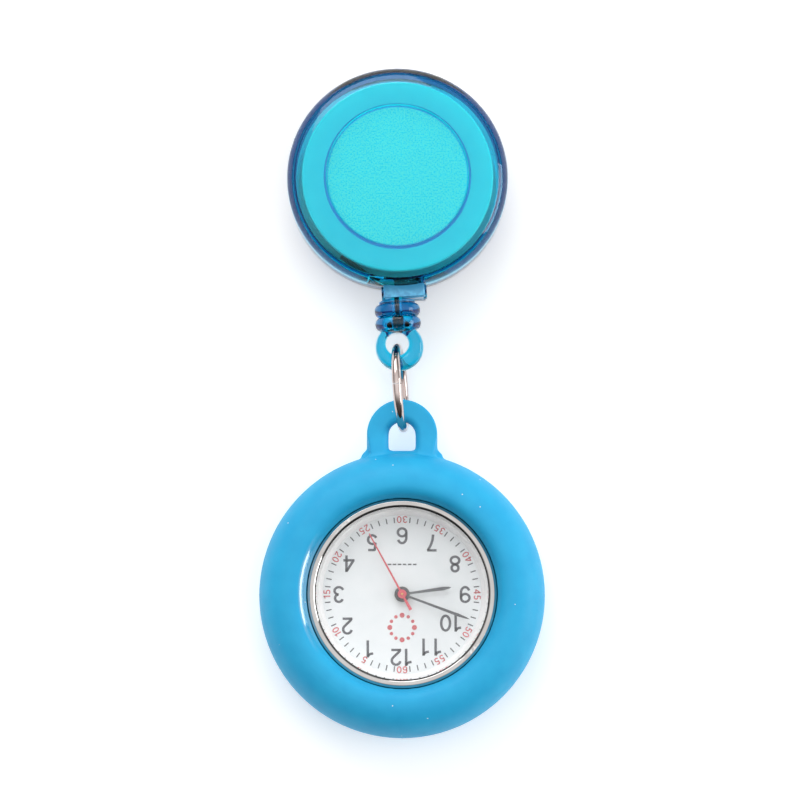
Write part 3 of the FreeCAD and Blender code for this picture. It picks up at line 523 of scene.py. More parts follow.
def turning_group() -> bpy.types.NodeTree:
    """Fine rings left by turning about an upright axis.

    Returns:
        The new group, which puts out a height and a mask of what is inside an edge radius.
    """
    graph = GroupGraph("Turning rings", {"Centre X": 0.0, "Centre Y": 0.0, "Per mm": 9.0, "Edge": 10.0,
                                         "Softness": 0.1})
    spot = graph.add("ShaderNodeSeparateXYZ", {"Vector": graph.point()}).outputs
    dx = graph.math("SUBTRACT", spot[0], graph.given["Centre X"])
    dy = graph.math("SUBTRACT", spot[1], graph.given["Centre Y"])
    radius = graph.math("SQRT", graph.math("ADD", graph.math("MULTIPLY", dx, dx),
                                           graph.math("MULTIPLY", dy, dy)))
    along = graph.add("ShaderNodeCombineXYZ", {"X": radius}).outputs[0]
    near = graph.math("SUBTRACT", graph.given["Edge"], graph.given["Softness"])
    return graph.ended(Height=graph.noise(along, graph.given["Per mm"], 3.0),
                       Inside=graph.spread(radius, near, graph.given["Edge"], 1.0, 0.0))


def braid_group() -> bpy.types.NodeTree:
    """Crossing strands of a braid or a wound wire.

    Returns:
        The new group, which puts out a height.
    """
    graph = GroupGraph("Braided strands", {"Per mm": 1.4})
    waves = [graph.add("ShaderNodeTexWave", {"Vector": graph.point(*lean), "Scale": graph.given["Per mm"],
                                             "Distortion": 0.4}, bands_direction="DIAGONAL").outputs[1]
             for lean in ((1.0, 1.0, 0.8), (-1.0, 1.0, -0.8))]
    return graph.ended(Height=graph.math("MAXIMUM", *waves))


GROUPS: dict[str, Callable[[], bpy.types.NodeTree]] = {
    "Fine grain": grain_group, "Handling marks": handling_group, "Dust specks": dust_group,
    "Edge wear": wear_group, "Straight brushing": brushing_group, "Turning rings": turning_group,
    "Braided strands": braid_group,
}


def channel(value: int) -> float:
    """One channel of a display colour as a scene-linear value."""
    share = value / 255
    return share / 12.92 if share <= 0.04045 else ((share + 0.055) / 1.055) ** 2.4


def linear(red: int, green: int, blue: int) -> tuple[float, float, float, float]:
    """A display colour as scene-linear values."""
    return channel(red), channel(green), channel(blue), 1.0


# ---- finishes -----------------------------------------------------------------------------------------
WHITE = (1.0, 1.0, 1.0, 1.0)
DUST = (225, 238, 244)
SPOOL_FIELD = 10.15
# Outer radius of the ring of painted shade over the spool's groove.
SPOOL_GROOVE_SHADE_EDGE = 10.68
SHARP = 0.05


class Relief(Enum):
    """The shader group that gives a plain finish its fine relief."""

    GRAIN = "Fine grain"
    BRUSHED = "Straight brushing"
    TURNED = "Turning rings"
    BRAIDED = "Braided strands"


@dataclass(frozen=True)
class Surface:
    """What every finish has: a name, and one material that is made on its first use."""

    name: str

    def material(self) -> bpy.types.Material:
        """Finds the material, or makes it.

        Returns:
            The material.
        """
        made = bpy.data.materials.get(self.name)
        if made:
            return made
        made = bpy.data.materials.new(self.name)
        made.use_nodes = True
        made.node_tree.nodes.clear()
        self.paint(Graph(made.node_tree))
        return made

    def paint(self, graph: Graph) -> None:
        """Adds the finish's own nodes, which each kind of finish does in its own way."""
        raise NotImplementedError(self.name)


@dataclass(frozen=True)
class Finish(Surface):
    """An opaque finish: its colour, gloss, relief and marks of handling."""

    colour: Colour
    second: Colour
    roughness: float
    metallic: float = 0.0
    relief: Relief = Relief.GRAIN
    per_mm: float = 8.0
    depth: float = 0.004
    handling: float = 0.05
    wear: float = 0.0
    dust: float = 0.0
    coat: float = 0.0
    coat_ior: float = 1.5
    specular: float = 0.5
    centre: Point2 = (0.0, 0.0)
    polished: Point2 | None = None
    rubbed: Point3 | None = None
    rub_softness: float = 4.5
    flakes: Colour | None = None
    flakes_per_mm: float = 4.4
    # Colour of the painted shade over the spool's groove: a darker, bluer colour for the shade and deeper
    # plastic seen down the groove.
    band: Colour | None = None

    @staticmethod
    def within(graph: Graph, x: float, y: float, radius: float,
               softness: float = 0.2) -> bpy.types.NodeSocket:
        """A mask of the upright cylinder of a radius about a centre."""
        edge = {"Centre X": x, "Centre Y": y, "Edge": radius, "Softness": softness}
        return graph.group("Turning rings", edge).outputs["Inside"]

    def polish(self, graph: Graph) -> bpy.types.NodeSocket:
        """Masks the lip between two radii round the centre, on the side where it is rubbed bright.

        Args:
            graph: the material's graph.

        Returns:
            The mask.
        """
        near, far = (self.within(graph, *self.centre, radius) for radius in self.polished)
        side = self.within(graph, *self.rubbed, self.rub_softness)
        return graph.math("MULTIPLY", graph.math("SUBTRACT", far, near), side)

    def flaked(self, graph: Graph, colour: bpy.types.NodeSocket) -> bpy.types.NodeSocket:
        """Adds fine pearly flakes in the middle field, and the ring of painted groove shade round it.

        Args:
            graph: the material's graph.
            colour: the colour so far.

        Returns:
            The new colour.
        """
        fine = graph.group("Fine grain", {"Per mm": self.flakes_per_mm, "Depth": 1.0}).outputs["Height"]
        field = self.within(graph, *self.centre, SPOOL_FIELD, SHARP)
        mask = graph.math("MULTIPLY", graph.spread(fine, 0.44, 0.56), field)
        # The ring over the groove is painted shade, not a tint of the plastic.
        ring = graph.math("SUBTRACT", self.within(graph, *self.centre, SPOOL_GROOVE_SHADE_EDGE, SHARP), field)
        return graph.blend(ring, graph.blend(mask, colour, linear(*self.flakes)), linear(*self.band))

    def colouring(self, graph: Graph) -> bpy.types.NodeSocket:
        """Builds up the colour: mottling, wear, flakes and dust.

        Args:
            graph: the material's graph.

        Returns:
            The colour.
        """
        mottle = graph.group("Fine grain").outputs["Mottle"]
        colour = graph.blend(mottle, linear(*self.colour), linear(*self.second))
        if self.wear:
            bright = tuple(min(255, int(c * 1.25 + 25)) for c in self.colour)
            worn = graph.group("Edge wear", {"Amount": self.wear}).outputs["Mask"]
            colour = graph.blend(worn, colour, linear(*bright))
        if self.flakes:
            colour = self.flaked(graph, colour)
        if self.dust:
            speck = graph.group("Dust specks", {"Clean share": 1 - self.dust}).outputs["Mask"]
            colour = graph.blend(speck, colour, linear(*DUST))
        return colour

    def paint(self, graph: Graph) -> None:
        """Adds the finish's nodes.

        Args:
            graph: the material's graph.
        """
        values = {"Per mm": self.per_mm}
        if self.relief is Relief.TURNED:
            values["Centre X"], values["Centre Y"] = self.centre
        height = graph.group(self.relief.value, values).outputs["Height"]
        bump = graph.add("ShaderNodeBump", {"Height": height, "Strength": 1.0, "Distance": self.depth * MM})
        marks = graph.group("Handling marks", {"Clean": self.roughness, "Amount": self.handling})
        shader = graph.add("ShaderNodeBsdfPrincipled", {
            "Base Color": self.colouring(graph), "Roughness": marks.outputs["Roughness"],
            "Metallic": self.metallic, "Normal": bump.outputs[0], "Coat Roughness": 0.08,
            "Coat Weight": self.polish(graph) if self.polished else self.coat, "Coat IOR": self.coat_ior,
            "Specular IOR Level": self.specular})
        graph.add("ShaderNodeOutputMaterial", {"Surface": shader.outputs[0]})


@dataclass(frozen=True)
class ClearFinish(Surface):
    """A clear finish: tinted plastic or glass, with its absorption and any frosted round field."""

    tint: Point3
    density: float
    roughness: float
    ior: float = 1.49
    field: Point3 | None = None
    field_depth: float = 0.0
    smooth_depth: float = 0.0004
    frosting: float = 0.04

    def paint(self, graph: Graph) -> None:
        """Adds the finish's nodes.

        Args:
            graph: the material's graph.
        """
        rough = graph.group("Handling marks", {"Clean": self.roughness, "Amount": 0.03}).outputs["Roughness"]
        height = graph.group("Fine grain", {"Per mm": 7.0}).outputs["Height"]
        depth = self.smooth_depth
        if self.field:
            edge = dict(zip(("Centre X", "Centre Y", "Edge"), self.field))
            inside = graph.group("Turning rings", edge).outputs["Inside"]
            height = graph.math("MULTIPLY", height, inside)
            rough = graph.math("ADD", rough, graph.math("MULTIPLY", inside, self.frosting), clamp=True)
            depth = self.field_depth
        bump = graph.add("ShaderNodeBump", {"Height": height, "Strength": 1.0, "Distance": depth * MM})
        clear = graph.add("ShaderNodeBsdfPrincipled", {
            "Base Color": WHITE, "Roughness": rough, "IOR": self.ior, "Transmission Weight": 1.0,
            "Normal": bump.outputs[0]})
        passing = graph.add("ShaderNodeBsdfTransparent", {"Color": WHITE})
        shadow_ray = graph.add("ShaderNodeLightPath").outputs["Is Shadow Ray"]
        both = graph.add("ShaderNodeMixShader", {"0": shadow_ray, "1": clear.outputs[0],
                                                 "2": passing.outputs[0]})
        sink = graph.add("ShaderNodeOutputMaterial", {"Surface": both.outputs[0]})
        if self.density:
            body = graph.add("ShaderNodeVolumeAbsorption", {"Color": (*self.tint, 1.0),
                                                            "Density": self.density})
            graph.feed(body.outputs[0], sink.inputs["Volume"])


REEL = Place(-0.67, 32.4, 3.4)
WATCH = Place(0.0, -27.8, 180.0)

CLEAR_BLUE = ClearFinish("Clear blue plastic", (0.0, 0.88, 0.943), 1250.0, 0.02,
                         field=(REEL.x, REEL.y, 10.05), field_depth=0.012)
DEEP_BLUE = ClearFinish("Deep clear blue plastic", (0.0, 0.88, 0.945), 3600.0, 0.03)
FITTING_BLUE = ClearFinish("Clear blue fitting plastic", (0.0, 0.862, 0.939), 2000.0, 0.03)
CRYSTAL = ClearFinish("Mineral crystal", (1.0, 1.0, 1.0), 0.0, 0.0, 1.5)
FROSTED_BLUE = Finish("Frosted blue plastic", (62, 150, 196), (72, 160, 204), 0.28, per_mm=9.0, depth=0.006,
                      handling=0.08, wear=0.5, coat=0.6)
SILICONE = Finish("Sky blue silicone", (32, 169, 221), (36, 175, 225), 0.5, per_mm=14.0, depth=0.003,
                  handling=0.08, dust=0.12, specular=0.35, centre=(WATCH.x, WATCH.y), coat_ior=2.6,
                  polished=(13.6, 14.95), rubbed=(WATCH.x - 17.5, WATCH.y, 10.5))
CHROME = Finish("Polished chrome plate", (196, 194, 192), (188, 184, 182), 0.04, 1.0, depth=0.0006,
                per_mm=4.0, handling=0.06, wear=0.4)
NICKEL = Finish("Bright nickel wire", (206, 192, 188), (196, 180, 176), 0.06, 1.0, depth=0.0012, per_mm=5.0,
                handling=0.08, wear=0.5)
SPRING_STEEL = Finish("Rolled spring steel", (168, 168, 170), (150, 150, 153), 0.24, 1.0, Relief.BRUSHED,
                      depth=0.003, handling=0.1, wear=0.12)
TURNED_STEEL = Finish("Turned steel", (172, 172, 174), (160, 160, 162), 0.26, 1.0, Relief.TURNED, depth=0.003,
                      handling=0.06, wear=0.3, centre=(WATCH.x, WATCH.y))
DARK_IRON = Finish("Dark sintered metal", (92, 92, 96), (74, 74, 78), 0.45, 1.0, per_mm=11.0, depth=0.004)
BRASS = Finish("Grained brass", (214, 184, 118), (200, 168, 100), 0.3, 1.0, Relief.TURNED, per_mm=6.0,
               centre=(WATCH.x, WATCH.y), depth=0.003)
COPPER = Finish("Enamelled copper wire", (200, 104, 62), (176, 84, 46), 0.3, 0.8, Relief.BRAIDED, per_mm=4.0,
                depth=0.02)
# The spool's ring colour over its groove is painted shade.
SPOOL_PLASTIC = Finish("Pale pearly plastic", (84, 230, 230), (94, 234, 232), 0.35, per_mm=10.0, depth=0.004,
                       centre=(REEL.x, REEL.y), flakes=(178, 254, 232), band=(100, 212, 255))
CREAM_PLASTIC = Finish("Cream acetal", (226, 220, 198), (214, 206, 182), 0.4, per_mm=12.0, depth=0.003)
BLACK_RUBBER = Finish("Black seal rubber", (22, 22, 24), (34, 34, 36), 0.6, per_mm=12.0, depth=0.006)
BLACK_CORD = Finish("Braided black cord", (16, 20, 28), (34, 40, 50), 0.75, relief=Relief.BRAIDED, per_mm=1.6,
                    depth=0.05, specular=0.3)
LAMINATE = Finish("Green laminate", (30, 84, 52), (24, 70, 42), 0.35, per_mm=6.0, depth=0.004)
DIAL_PAINT = Finish("White dial paint", (229, 233, 235), (225, 230, 232), 0.32, per_mm=9.0, depth=0.0025,
                    handling=0.02)
RING_PAINT = Finish("Satin white ring", (238, 238, 238), (232, 232, 232), 0.45, per_mm=10.0, depth=0.001,
                    handling=0.01)
GREY_INK = Finish("Dark grey ink", (84, 86, 92), (92, 94, 100), 0.5, per_mm=16.0, depth=0.002)
RED_INK = Finish("Red ink", (196, 92, 98), (204, 104, 108), 0.5, per_mm=16.0, depth=0.002)
GREY_HAND = Finish("Dark grey hand paint", (72, 74, 78), (84, 86, 90), 0.28, 0.2, per_mm=9.0, depth=0.002,
                   wear=0.3)
RED_HAND = Finish("Red hand paint", (206, 84, 96), (198, 74, 86), 0.3, per_mm=9.0, depth=0.002)


def dress(piece: bpy.types.Object, finish: Surface) -> None:
    """Gives a piece one finish all over.

    Args:
        piece: the piece.
        finish: its finish.
    """
    piece.data.materials.clear()
    piece.data.materials.append(finish.material())
    for polygon in piece.data.polygons:
        polygon.material_index = 0


def declare(piece: bpy.types.Object, finish: Surface, nodes: Iterable[str]) -> None:
    """Dresses a piece and hides the CAD nodes that it replaces.

    Args:
        piece: the piece, in place.
        finish: its finish.
        nodes: CAD nodes that it replaces.
    """
    dress(piece, finish)
    if nodes:
        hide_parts(*nodes)


def seat(piece: bpy.types.Object, body: str, finish: Surface, nodes: Iterable[str] = ()) -> None:
    """Declares a piece and puts it on a body.

    Args:
        piece: the piece, in place.
        body: the CAD body that it rides on.
        finish: its finish.
        nodes: CAD nodes that it replaces.
    """
    declare(piece, finish, nodes)
    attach(piece, body)
    log.info("%s: %d faces on %s, %s", piece.name, len(piece.data.polygons), body, finish.name)


def stretch(piece: bpy.types.Object, bodies: tuple[str, str], ends: tuple[Vector, Vector], finish: Surface,
            slot: str, nodes: Iterable[str]) -> None:
    """Declares a piece and blends it between two bodies.

    Args:
        piece: the piece, in place.
        bodies: two CAD bodies, named in the log.
        ends: not used.
        finish: its finish.
        slot: not used.
        nodes: CAD nodes that it replaces.
    """
    declare(piece, finish, nodes)
    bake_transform(piece)
    log.info("%s: blended between %s and %s, %s", piece.name, *bodies, finish.name)


# ---- reel ---------------------------------------------------------------------------------------------
@dataclass
class Reel:
    """The retractable reel: clear blue housing, pearly turquoise spool, black cord and belt clip."""

    place: Place
    radius: float = 16.0
    wall: float = 14.75
    shoulder: float = 12.3
    parting: float = 7.6
    back: float = 3.6
    floor: float = 4.8
    cover_under: float = 10.75
    recess: float = 10.15
    recess_z: float = 11.7
    outlet_end: float = 17.65
    outlet_half: float = 2.97
    outlet_z: Point2 = (5.1, 10.1)
    frost_from: Point2 = (0.12, -0.6)
    spool_rim: float = 13.65
    spool_top: float = 10.45
    layers: Point2 = (11.78, 12.48)
    layer_turns: float = 4.6
    cord_side: float = -1.15
    cord_radius: float = 0.35
    clip_half: float = 4.75
    clip_bend: float = 11.6
    clip_thick: float = 0.6

    def cover(self) -> None:
        """The front cover: rounded shoulder, domed margin, recessed frosted field and the rib under it."""
        wall, radius, seam, under = self.wall, self.radius, self.parting, self.cover_under
        flank = arc(self.shoulder, 9.3, radius - self.shoulder, 2.77, 0, 90, 22)
        margin = rounded([(self.shoulder, 12.07), (self.recess + 0.14, 12.13, 0.12),
                          (self.recess, 11.72, 0.05), (self.recess - 0.6, self.recess_z)], closed=False)
        rib = [(self.recess + r, z) for r, z in ((0.07, under), (0.1, 10.05), (0.4, 10.05), (0.43, under))]
        profile = [(0, under), *rib, (wall - 0.6, under), (wall - 0.15, 10.6), (wall, 10.15), (wall, seam),
                   (radius - 0.1, seam), (radius, seam + 0.1), *flank, *margin[1:], (0, self.recess_z)]
        piece = from_bmesh("reel_cover", lathe_bmesh(profile, 220), self.place)
        joined(piece, self.nose("cover_nose", self.outlet_half, seam + 0.03, self.outlet_z[1]), "UNION")
        joined(piece, self.passage("cover_passage", seam - 1, 9.9), "DIFFERENCE")
        seat(piece, "reel_housing", CLEAR_BLUE, ["front_cover"])
        self.frost(piece)

    def frost(self, cover: bpy.types.Object) -> None:
        """Frosts the nose's own faces, and its level ones from a little further in.

        Args:
            cover: the dressed front cover.
        """
        level = 0.99
        cover.data.materials.append(FROSTED_BLUE.material())
        inverse = self.place.matrix().inverted()
        for polygon in cover.data.polygons:
            outwards = -(inverse @ (polygon.center / MM)).y - self.radius
            if outwards > self.frost_from[0] or outwards > self.frost_from[1] and polygon.normal.z > level:
                polygon.material_index = 1

    def shell(self) -> None:
        """The back shell: floor, wall, tongue and post."""
        inner, outer, seam = self.wall, self.radius, self.parting
        post, post_top = 2.0, 10.0
        piece = lathe("reel_shell", [
            (0, self.back), (outer, self.back, 0.9), (outer, seam - 0.03, 0.1), (inner - 0.05, seam - 0.03),
            (inner - 0.05, seam + 0.8, 0.15), (inner - 0.6, seam + 0.8, 0.15), (inner - 0.6, self.floor, 0.3),
            (post, self.floor, 0.2), (post, post_top, 0.2), (0, post_top)], self.place, 220)
        nose = self.nose("shell_nose", self.outlet_half + 0.3, self.outlet_z[0], seam - 0.05)
        joined(piece, nose, "UNION")
        joined(piece, self.passage("shell_passage", 6.4, seam + 1.5), "DIFFERENCE")
        seat(piece, "reel_housing", DEEP_BLUE, ["back_shell"])

    def nose(self, name: str, half: float, low: float, high: float) -> bpy.types.Object:
        """One half of the square nose that the cord leaves through, softened at its edges.

        Args:
            name: the object's name.
            half: half its width.
            low: height of its underside.
            high: height of its top.

        Returns:
            The nose, as the body to join on.
        """
        near = 0.4 - self.wall
        far = -self.outlet_end
        bm = prism_bmesh([(-half, near), (-half, far), (half, far), (half, near)], low, high)
        bevel(bm, bm.edges, 0.22, 3)
        return from_bmesh(name, bm, self.place)

    def passage(self, name: str, low: float, high: float) -> bpy.types.Object:
        """The room for the cord through the wall and the nose.

        Args:
            name: the object's name.
            low: height of its underside.
            high: height of its top.

        Returns:
            The body to cut away.
        """
        wide, slim, step, past = 2.2, 0.8, 1.2 - self.outlet_end, -self.outlet_end - 1
        left, right, wall = self.cord_side - slim, self.cord_side + slim, self.wall
        outline = rounded([
            (-2 * wide - 0.3, 1.9 - wall), (-2 * wide - 0.3, 0.65 - wall, 0.3),
            (-wide - 0.3, -1.25 - wall, 0.3), (-wide, step, 0.2), (left, step, 0.3), (left, past),
            (right, past), (right, step, 0.3),
            (wide, step, 0.5), (wide, 1.9 - wall)])
        return from_bmesh(name, prism_bmesh(outline, low, high), self.place)

    def spool(self) -> None:
        """The pearly turquoise drum, seen through the cover, with the groove under the cover's rib."""
        rim, groove, top, hub, bore = self.spool_rim, self.recess, self.spool_top, 11.4, 2.1
        piece = lathe("spool_drum", [
            (0, top), (groove, top, 0.05), (groove + 0.05, 9.8, 0.05), (groove + 0.45, 9.8, 0.1),
            (groove + 0.5, top, 0.05), (rim, top, 0.2), (rim, 9.65, 0.2), (hub, 9.65, 0.1), (hub, 5.9, 0.1),
            (rim, 5.9, 0.2), (rim, 5.1, 0.2), (10.4, 5.1, 0.15), (10.4, 9.3, 0.2), (bore, 9.3, 0.1),
            (bore, 10.05), (0, 10.05)], self.place)
        seat(piece, "spool", SPOOL_PLASTIC, ["spool"])

    def winding(self) -> None:
        """The wound cord: a layer of close turns going up and one coming down."""
        per_turn, lowest, climb = 56, 6.28, 3.0
        path = []
        for layer, radius in enumerate(self.layers):
            for i in range(int(self.layer_turns * per_turn)):
                rise = climb * i / (self.layer_turns * per_turn)
                height = lowest + climb - rise if layer else lowest + rise
                path.append(Vector((*polar(radius, 360 * i / per_turn), height)))
        piece = from_bmesh("cord_turns", tube_bmesh(path, self.cord_radius, 10), self.place, 80)
        seat(piece, "spool", BLACK_CORD, ["cord_winding"])

    def guide(self) -> None:
        """A dark block beside the cord in the wall's opening: painted shade, a dark solid where the opening
        holds only shadow.
        """
        left, right, far, near = -1.35, 2.0, -15.5, -14.35
        bm = prism_bmesh([(left, far), (right, far), (right, near), (left, near)], 6.7, 9.8)
        bevel(bm, bm.edges, 0.12, 2)
        seat(from_bmesh("painted_shade_block", bm, self.place), "reel_housing", BLACK_RUBBER)

    def cord_points(self) -> tuple[Vector, Vector, Vector]:
        """Where the cord goes, in the reel's own frame.

        Returns:
            Where it leaves the winding, turns in the outlet and ends at the knot.
        """
        mouth = Vector((self.cord_side, 1.4 - self.outlet_end, self.parting))
        leaving = 13.3
        bearing = math.degrees(math.atan2(mouth.y, mouth.x) - math.acos(leaving / mouth.xy.length))
        leave = Vector((*polar(leaving, bearing), self.parting))
        knot = Vector((self.cord_side, -self.outlet_end - 0.1 - 3.33, self.parting))
        return leave, mouth, knot

    def cord(self) -> None:
        """The cord from the winding to the outlet, its tail to the knot, and the knot."""
        ease, pieces = 0.8, 10
        leave, mouth, knot = self.cord_points()
        end = mouth + Vector((0, -ease, 0))
        bend = curve_through(mouth + (leave - mouth).normalized() * ease, mouth, end, 8)
        lead = from_bmesh("cord_lead_in", tube_bmesh([leave, *bend], self.cord_radius, 14), self.place, 80)
        seat(lead, "reel_housing", BLACK_CORD, ["cord_lead"])
        path = [end + (knot - end) * (i / pieces) for i in range(pieces + 1)]
        tail = from_bmesh("cord_tail_out", tube_bmesh(path, self.cord_radius, 14), self.place, 80)
        stretch(tail, ("reel_housing", "cord_end"), (self.place.point(*end), self.place.point(*knot)),
                BLACK_CORD, "cord", ["cord_tail"])
        self.knot(knot)

    def knot(self, middle: Vector) -> None:
        """The stop knot: one loop of cord through itself.

        Args:
            middle: its centre.
        """
        loop = []
        for t in around(72):
            swell = 0.62 + 0.26 * math.cos(3 * t)
            loop.append(middle + Vector((swell * 1.12 * math.cos(2 * t), swell * 0.9 * math.sin(2 * t),
                                         0.42 * math.sin(3 * t))))
        bm = tube_bmesh(loop, self.cord_radius * 0.8, 12, True)
        piece = from_bmesh("cord_stop_knot", bm, self.place, 80)
        seat(piece, "cord_end", BLACK_CORD, ["cord_knot"])

    def clip(self) -> None:
        """The belt clip: one bent strip and its rivet."""
        top, thick, half, middle = self.clip_bend, self.clip_thick, self.clip_half, self.back / 2
        inner, tip = middle - thick, -8.5
        levels = (-4.0, 0.0, 4.0, 8.0)
        bend_in = [(top + y, middle + z) for y, z in arc(0, 0, inner, inner, 90, -90, 14)]
        bend_out = [(top + y, middle + z) for y, z in arc(0, 0, middle, middle, -90, 90, 14)]
        leaf = [(top - 6, thick + 0.12), (3.0, thick + 0.15), (-3.0, thick + 0.45), (-7.6, thick + 0.72),
                (-9.0, thick + 0.5), (-10.4, thick + 0.2), (-11.4, 0.12)]
        back_leaf = [(-11.5, 0.0), (-10.2, 0.1), (-9.0, 0.45), (-7.6, 0.72), (-3.0, 0.45), (3.0, 0.15),
                     (top - 6, 0.1)]
        side = [(tip, 2 * middle), (tip, middle + inner), *[(y, middle + inner) for y in levels], *bend_in,
                *leaf, *back_leaf, *bend_out, *[(y, 2 * middle) for y in reversed(levels)]]
        bm = bmesh.new()
        ends = skin(bm, [[bm.verts.new((x, y, z)) for y, z in side] for x in (-half, half)])
        bevel(bm, [e for f in ends for e in f.edges], 0.08, 2)
        strip = from_bmesh("clip_strip", bm, self.place, 35)
        stretch(strip, ("reel_housing", "clip_leaf"),
                (self.place.point(0, 13.1, 2.6), self.place.point(0, 13.1, 1.0)),
                SPRING_STEEL, "spring_steel", ["clip_base", "clip_leaf"])
        under, bore, shank = self.back - thick, 0.55, 1.2
        rivet = lathe("clip_rivet_head", [
            (bore, under - 0.3, 0.05), (1.3, under - 0.42, 0.2), (2.3, under, 0.1), (shank, under),
            (shank, 5.1, 0.1), (bore, 5.1, 0.1)], self.place, 64)
        seat(rivet, "reel_housing", NICKEL, ["clip_rivet"])

    def build(self) -> None:
        """Builds every piece of the reel."""
        self.cover()
        self.shell()
        self.spool()
        self.winding()
        # A dark block in the cord opening, as painted shade.
        self.guide()
        self.cord()
        self.clip()


# ---- eye fitting and ring -----------------------------------------------------------------------------
@dataclass
class Hanger:
    """The clear eye fitting on the cord's end and the open steel ring."""

    place: Place
    axis_x: float = -1.15
    face_y: float = -17.75
    axis_z: float = 7.6
    collar: float = 2.6
    rib: float = 3.32
    ribs: int = 2
    rib_pitch: float = 1.92
    rib_start: float = 0.45
    eye_r: float = 3.47
    eye_at: float = 6.75
    eye_half: float = 1.35
    hole_at: Point2 = (-0.3, 6.25)
    hole_r: float = 1.65
    edge_power: float = 0.8
    cord_hole: float = 0.5
    hollow: float = 1.5
    ring_radius: float = 5.85
    ring_cut: Point2 = (90.4, 359.2)
    ring_lean: Point2 = (4.0, -5.0)
    wire: float = 0.65

    def neck_profile(self) -> list[Point2]:
        """The ribbed neck along its axis from the collar, with the cord's hole and the knot's hollow.

        Returns:
            The profile's points.
        """
        collar, hollow, bore = self.collar, self.hollow, self.cord_hole
        ribs: list[Point2] = []
        for i in range(self.ribs):
            middle = self.rib_start + self.rib_pitch * (i + 0.5)
            ribs += arc(collar, middle, self.rib - collar, self.rib_pitch / 2 - 0.02, -90, 90, 12)
        foot = self.rib_start + self.rib_pitch * self.ribs
        knot = self.rib_start + 1.5 * self.rib_pitch
        return [(bore, 0.0), (collar - 0.1, 0.0), (collar, 0.1), *ribs, (2.3, foot + 0.15),
                (2.1, foot + 0.25), (0.0, foot + 0.25), (0.0, knot + 1.0), (hollow - 0.25, knot + 1.0),
                (hollow, knot + 0.8), (hollow, knot - 0.9), (hollow - 0.25, knot - 1.2), (bore, knot - 1.25)]

    def softened(self, share: float) -> float:
        """A cosine or sine, moved outwards so that the eye's section is fuller than an ellipse."""
        return math.copysign(abs(share) ** self.edge_power, share)

    def eye(self, lay: Matrix) -> bmesh.types.BMesh:
        """The round eye, thicker at its far end because its hole stands off centre.

        Args:
            lay: the placement of the fitting's axis.

        Returns:
            The eye as a closed ring.
        """
        bm = bmesh.new()
        rings: Rings = []
        for a in around(96):
            out = Vector((math.cos(a), 0, math.sin(a)))
            inner = Vector((self.hole_at[0], 0, self.hole_at[1])) + out * self.hole_r
            outer = Vector((0, 0, self.eye_at)) + out * self.eye_r
            middle, half = (inner + outer) / 2, (outer - inner) / 2
            ring = []
            for b in around(32):
                up = Vector((0, self.eye_half * self.softened(math.sin(b)), 0))
                ring.append(bm.verts.new(lay @ (middle + half * self.softened(math.cos(b)) + up)))
            rings.append(ring)
        skin(bm, rings, True)
        return bm

    def fitting(self) -> None:
        """Ribbed neck and round eye in one clear moulding, hollow for the knot."""
        face = Matrix.Translation((self.axis_x, self.face_y, self.axis_z))
        lay = face @ Matrix.Rotation(math.radians(90), 4, "X")
        neck = from_bmesh("eye_fitting", lathe_bmesh(self.neck_profile(), 96, move=lay), self.place)
        joined(neck, from_bmesh("eye_ring", self.eye(lay), self.place), "UNION")
        seat(neck, "fitting", FITTING_BLUE, ["end_fitting"])

    def ring(self) -> None:
        """Open ring of round wire, butted at a fine cut."""
        low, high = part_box("steel_ring")
        turns = [Matrix.Rotation(math.radians(lean), 4, axis) for lean, axis in zip(self.ring_lean, "ZY")]
        turn = Matrix.Translation((low + high) / 2 / MM) @ turns[0] @ turns[1]
        normal = (turn.to_3x3() @ Vector((1, 0, 0))).normalized()
        centre = turn @ Vector((0, 0, 0))
        start, sweep = self.ring_cut
        steps = 160
        bm = bmesh.new()
        rings: Rings = []
        for k in range(steps + 1):
            spot = turn @ Vector((0, *polar(self.ring_radius, start + sweep * k / steps)))
            out = (spot - centre).normalized()
            ways = [out * math.cos(a) + normal * math.sin(a) for a in around(28)]
            rings.append([bm.verts.new(spot + way * self.wire) for way in ways])
        skin(bm, rings)
        piece = from_bmesh("hanging_ring", bm, None, 50)
        seat(piece, "ring", NICKEL, ["steel_ring"])

    def build(self) -> None:
        """Builds the fitting and the ring."""
        self.fitting()
        self.ring()


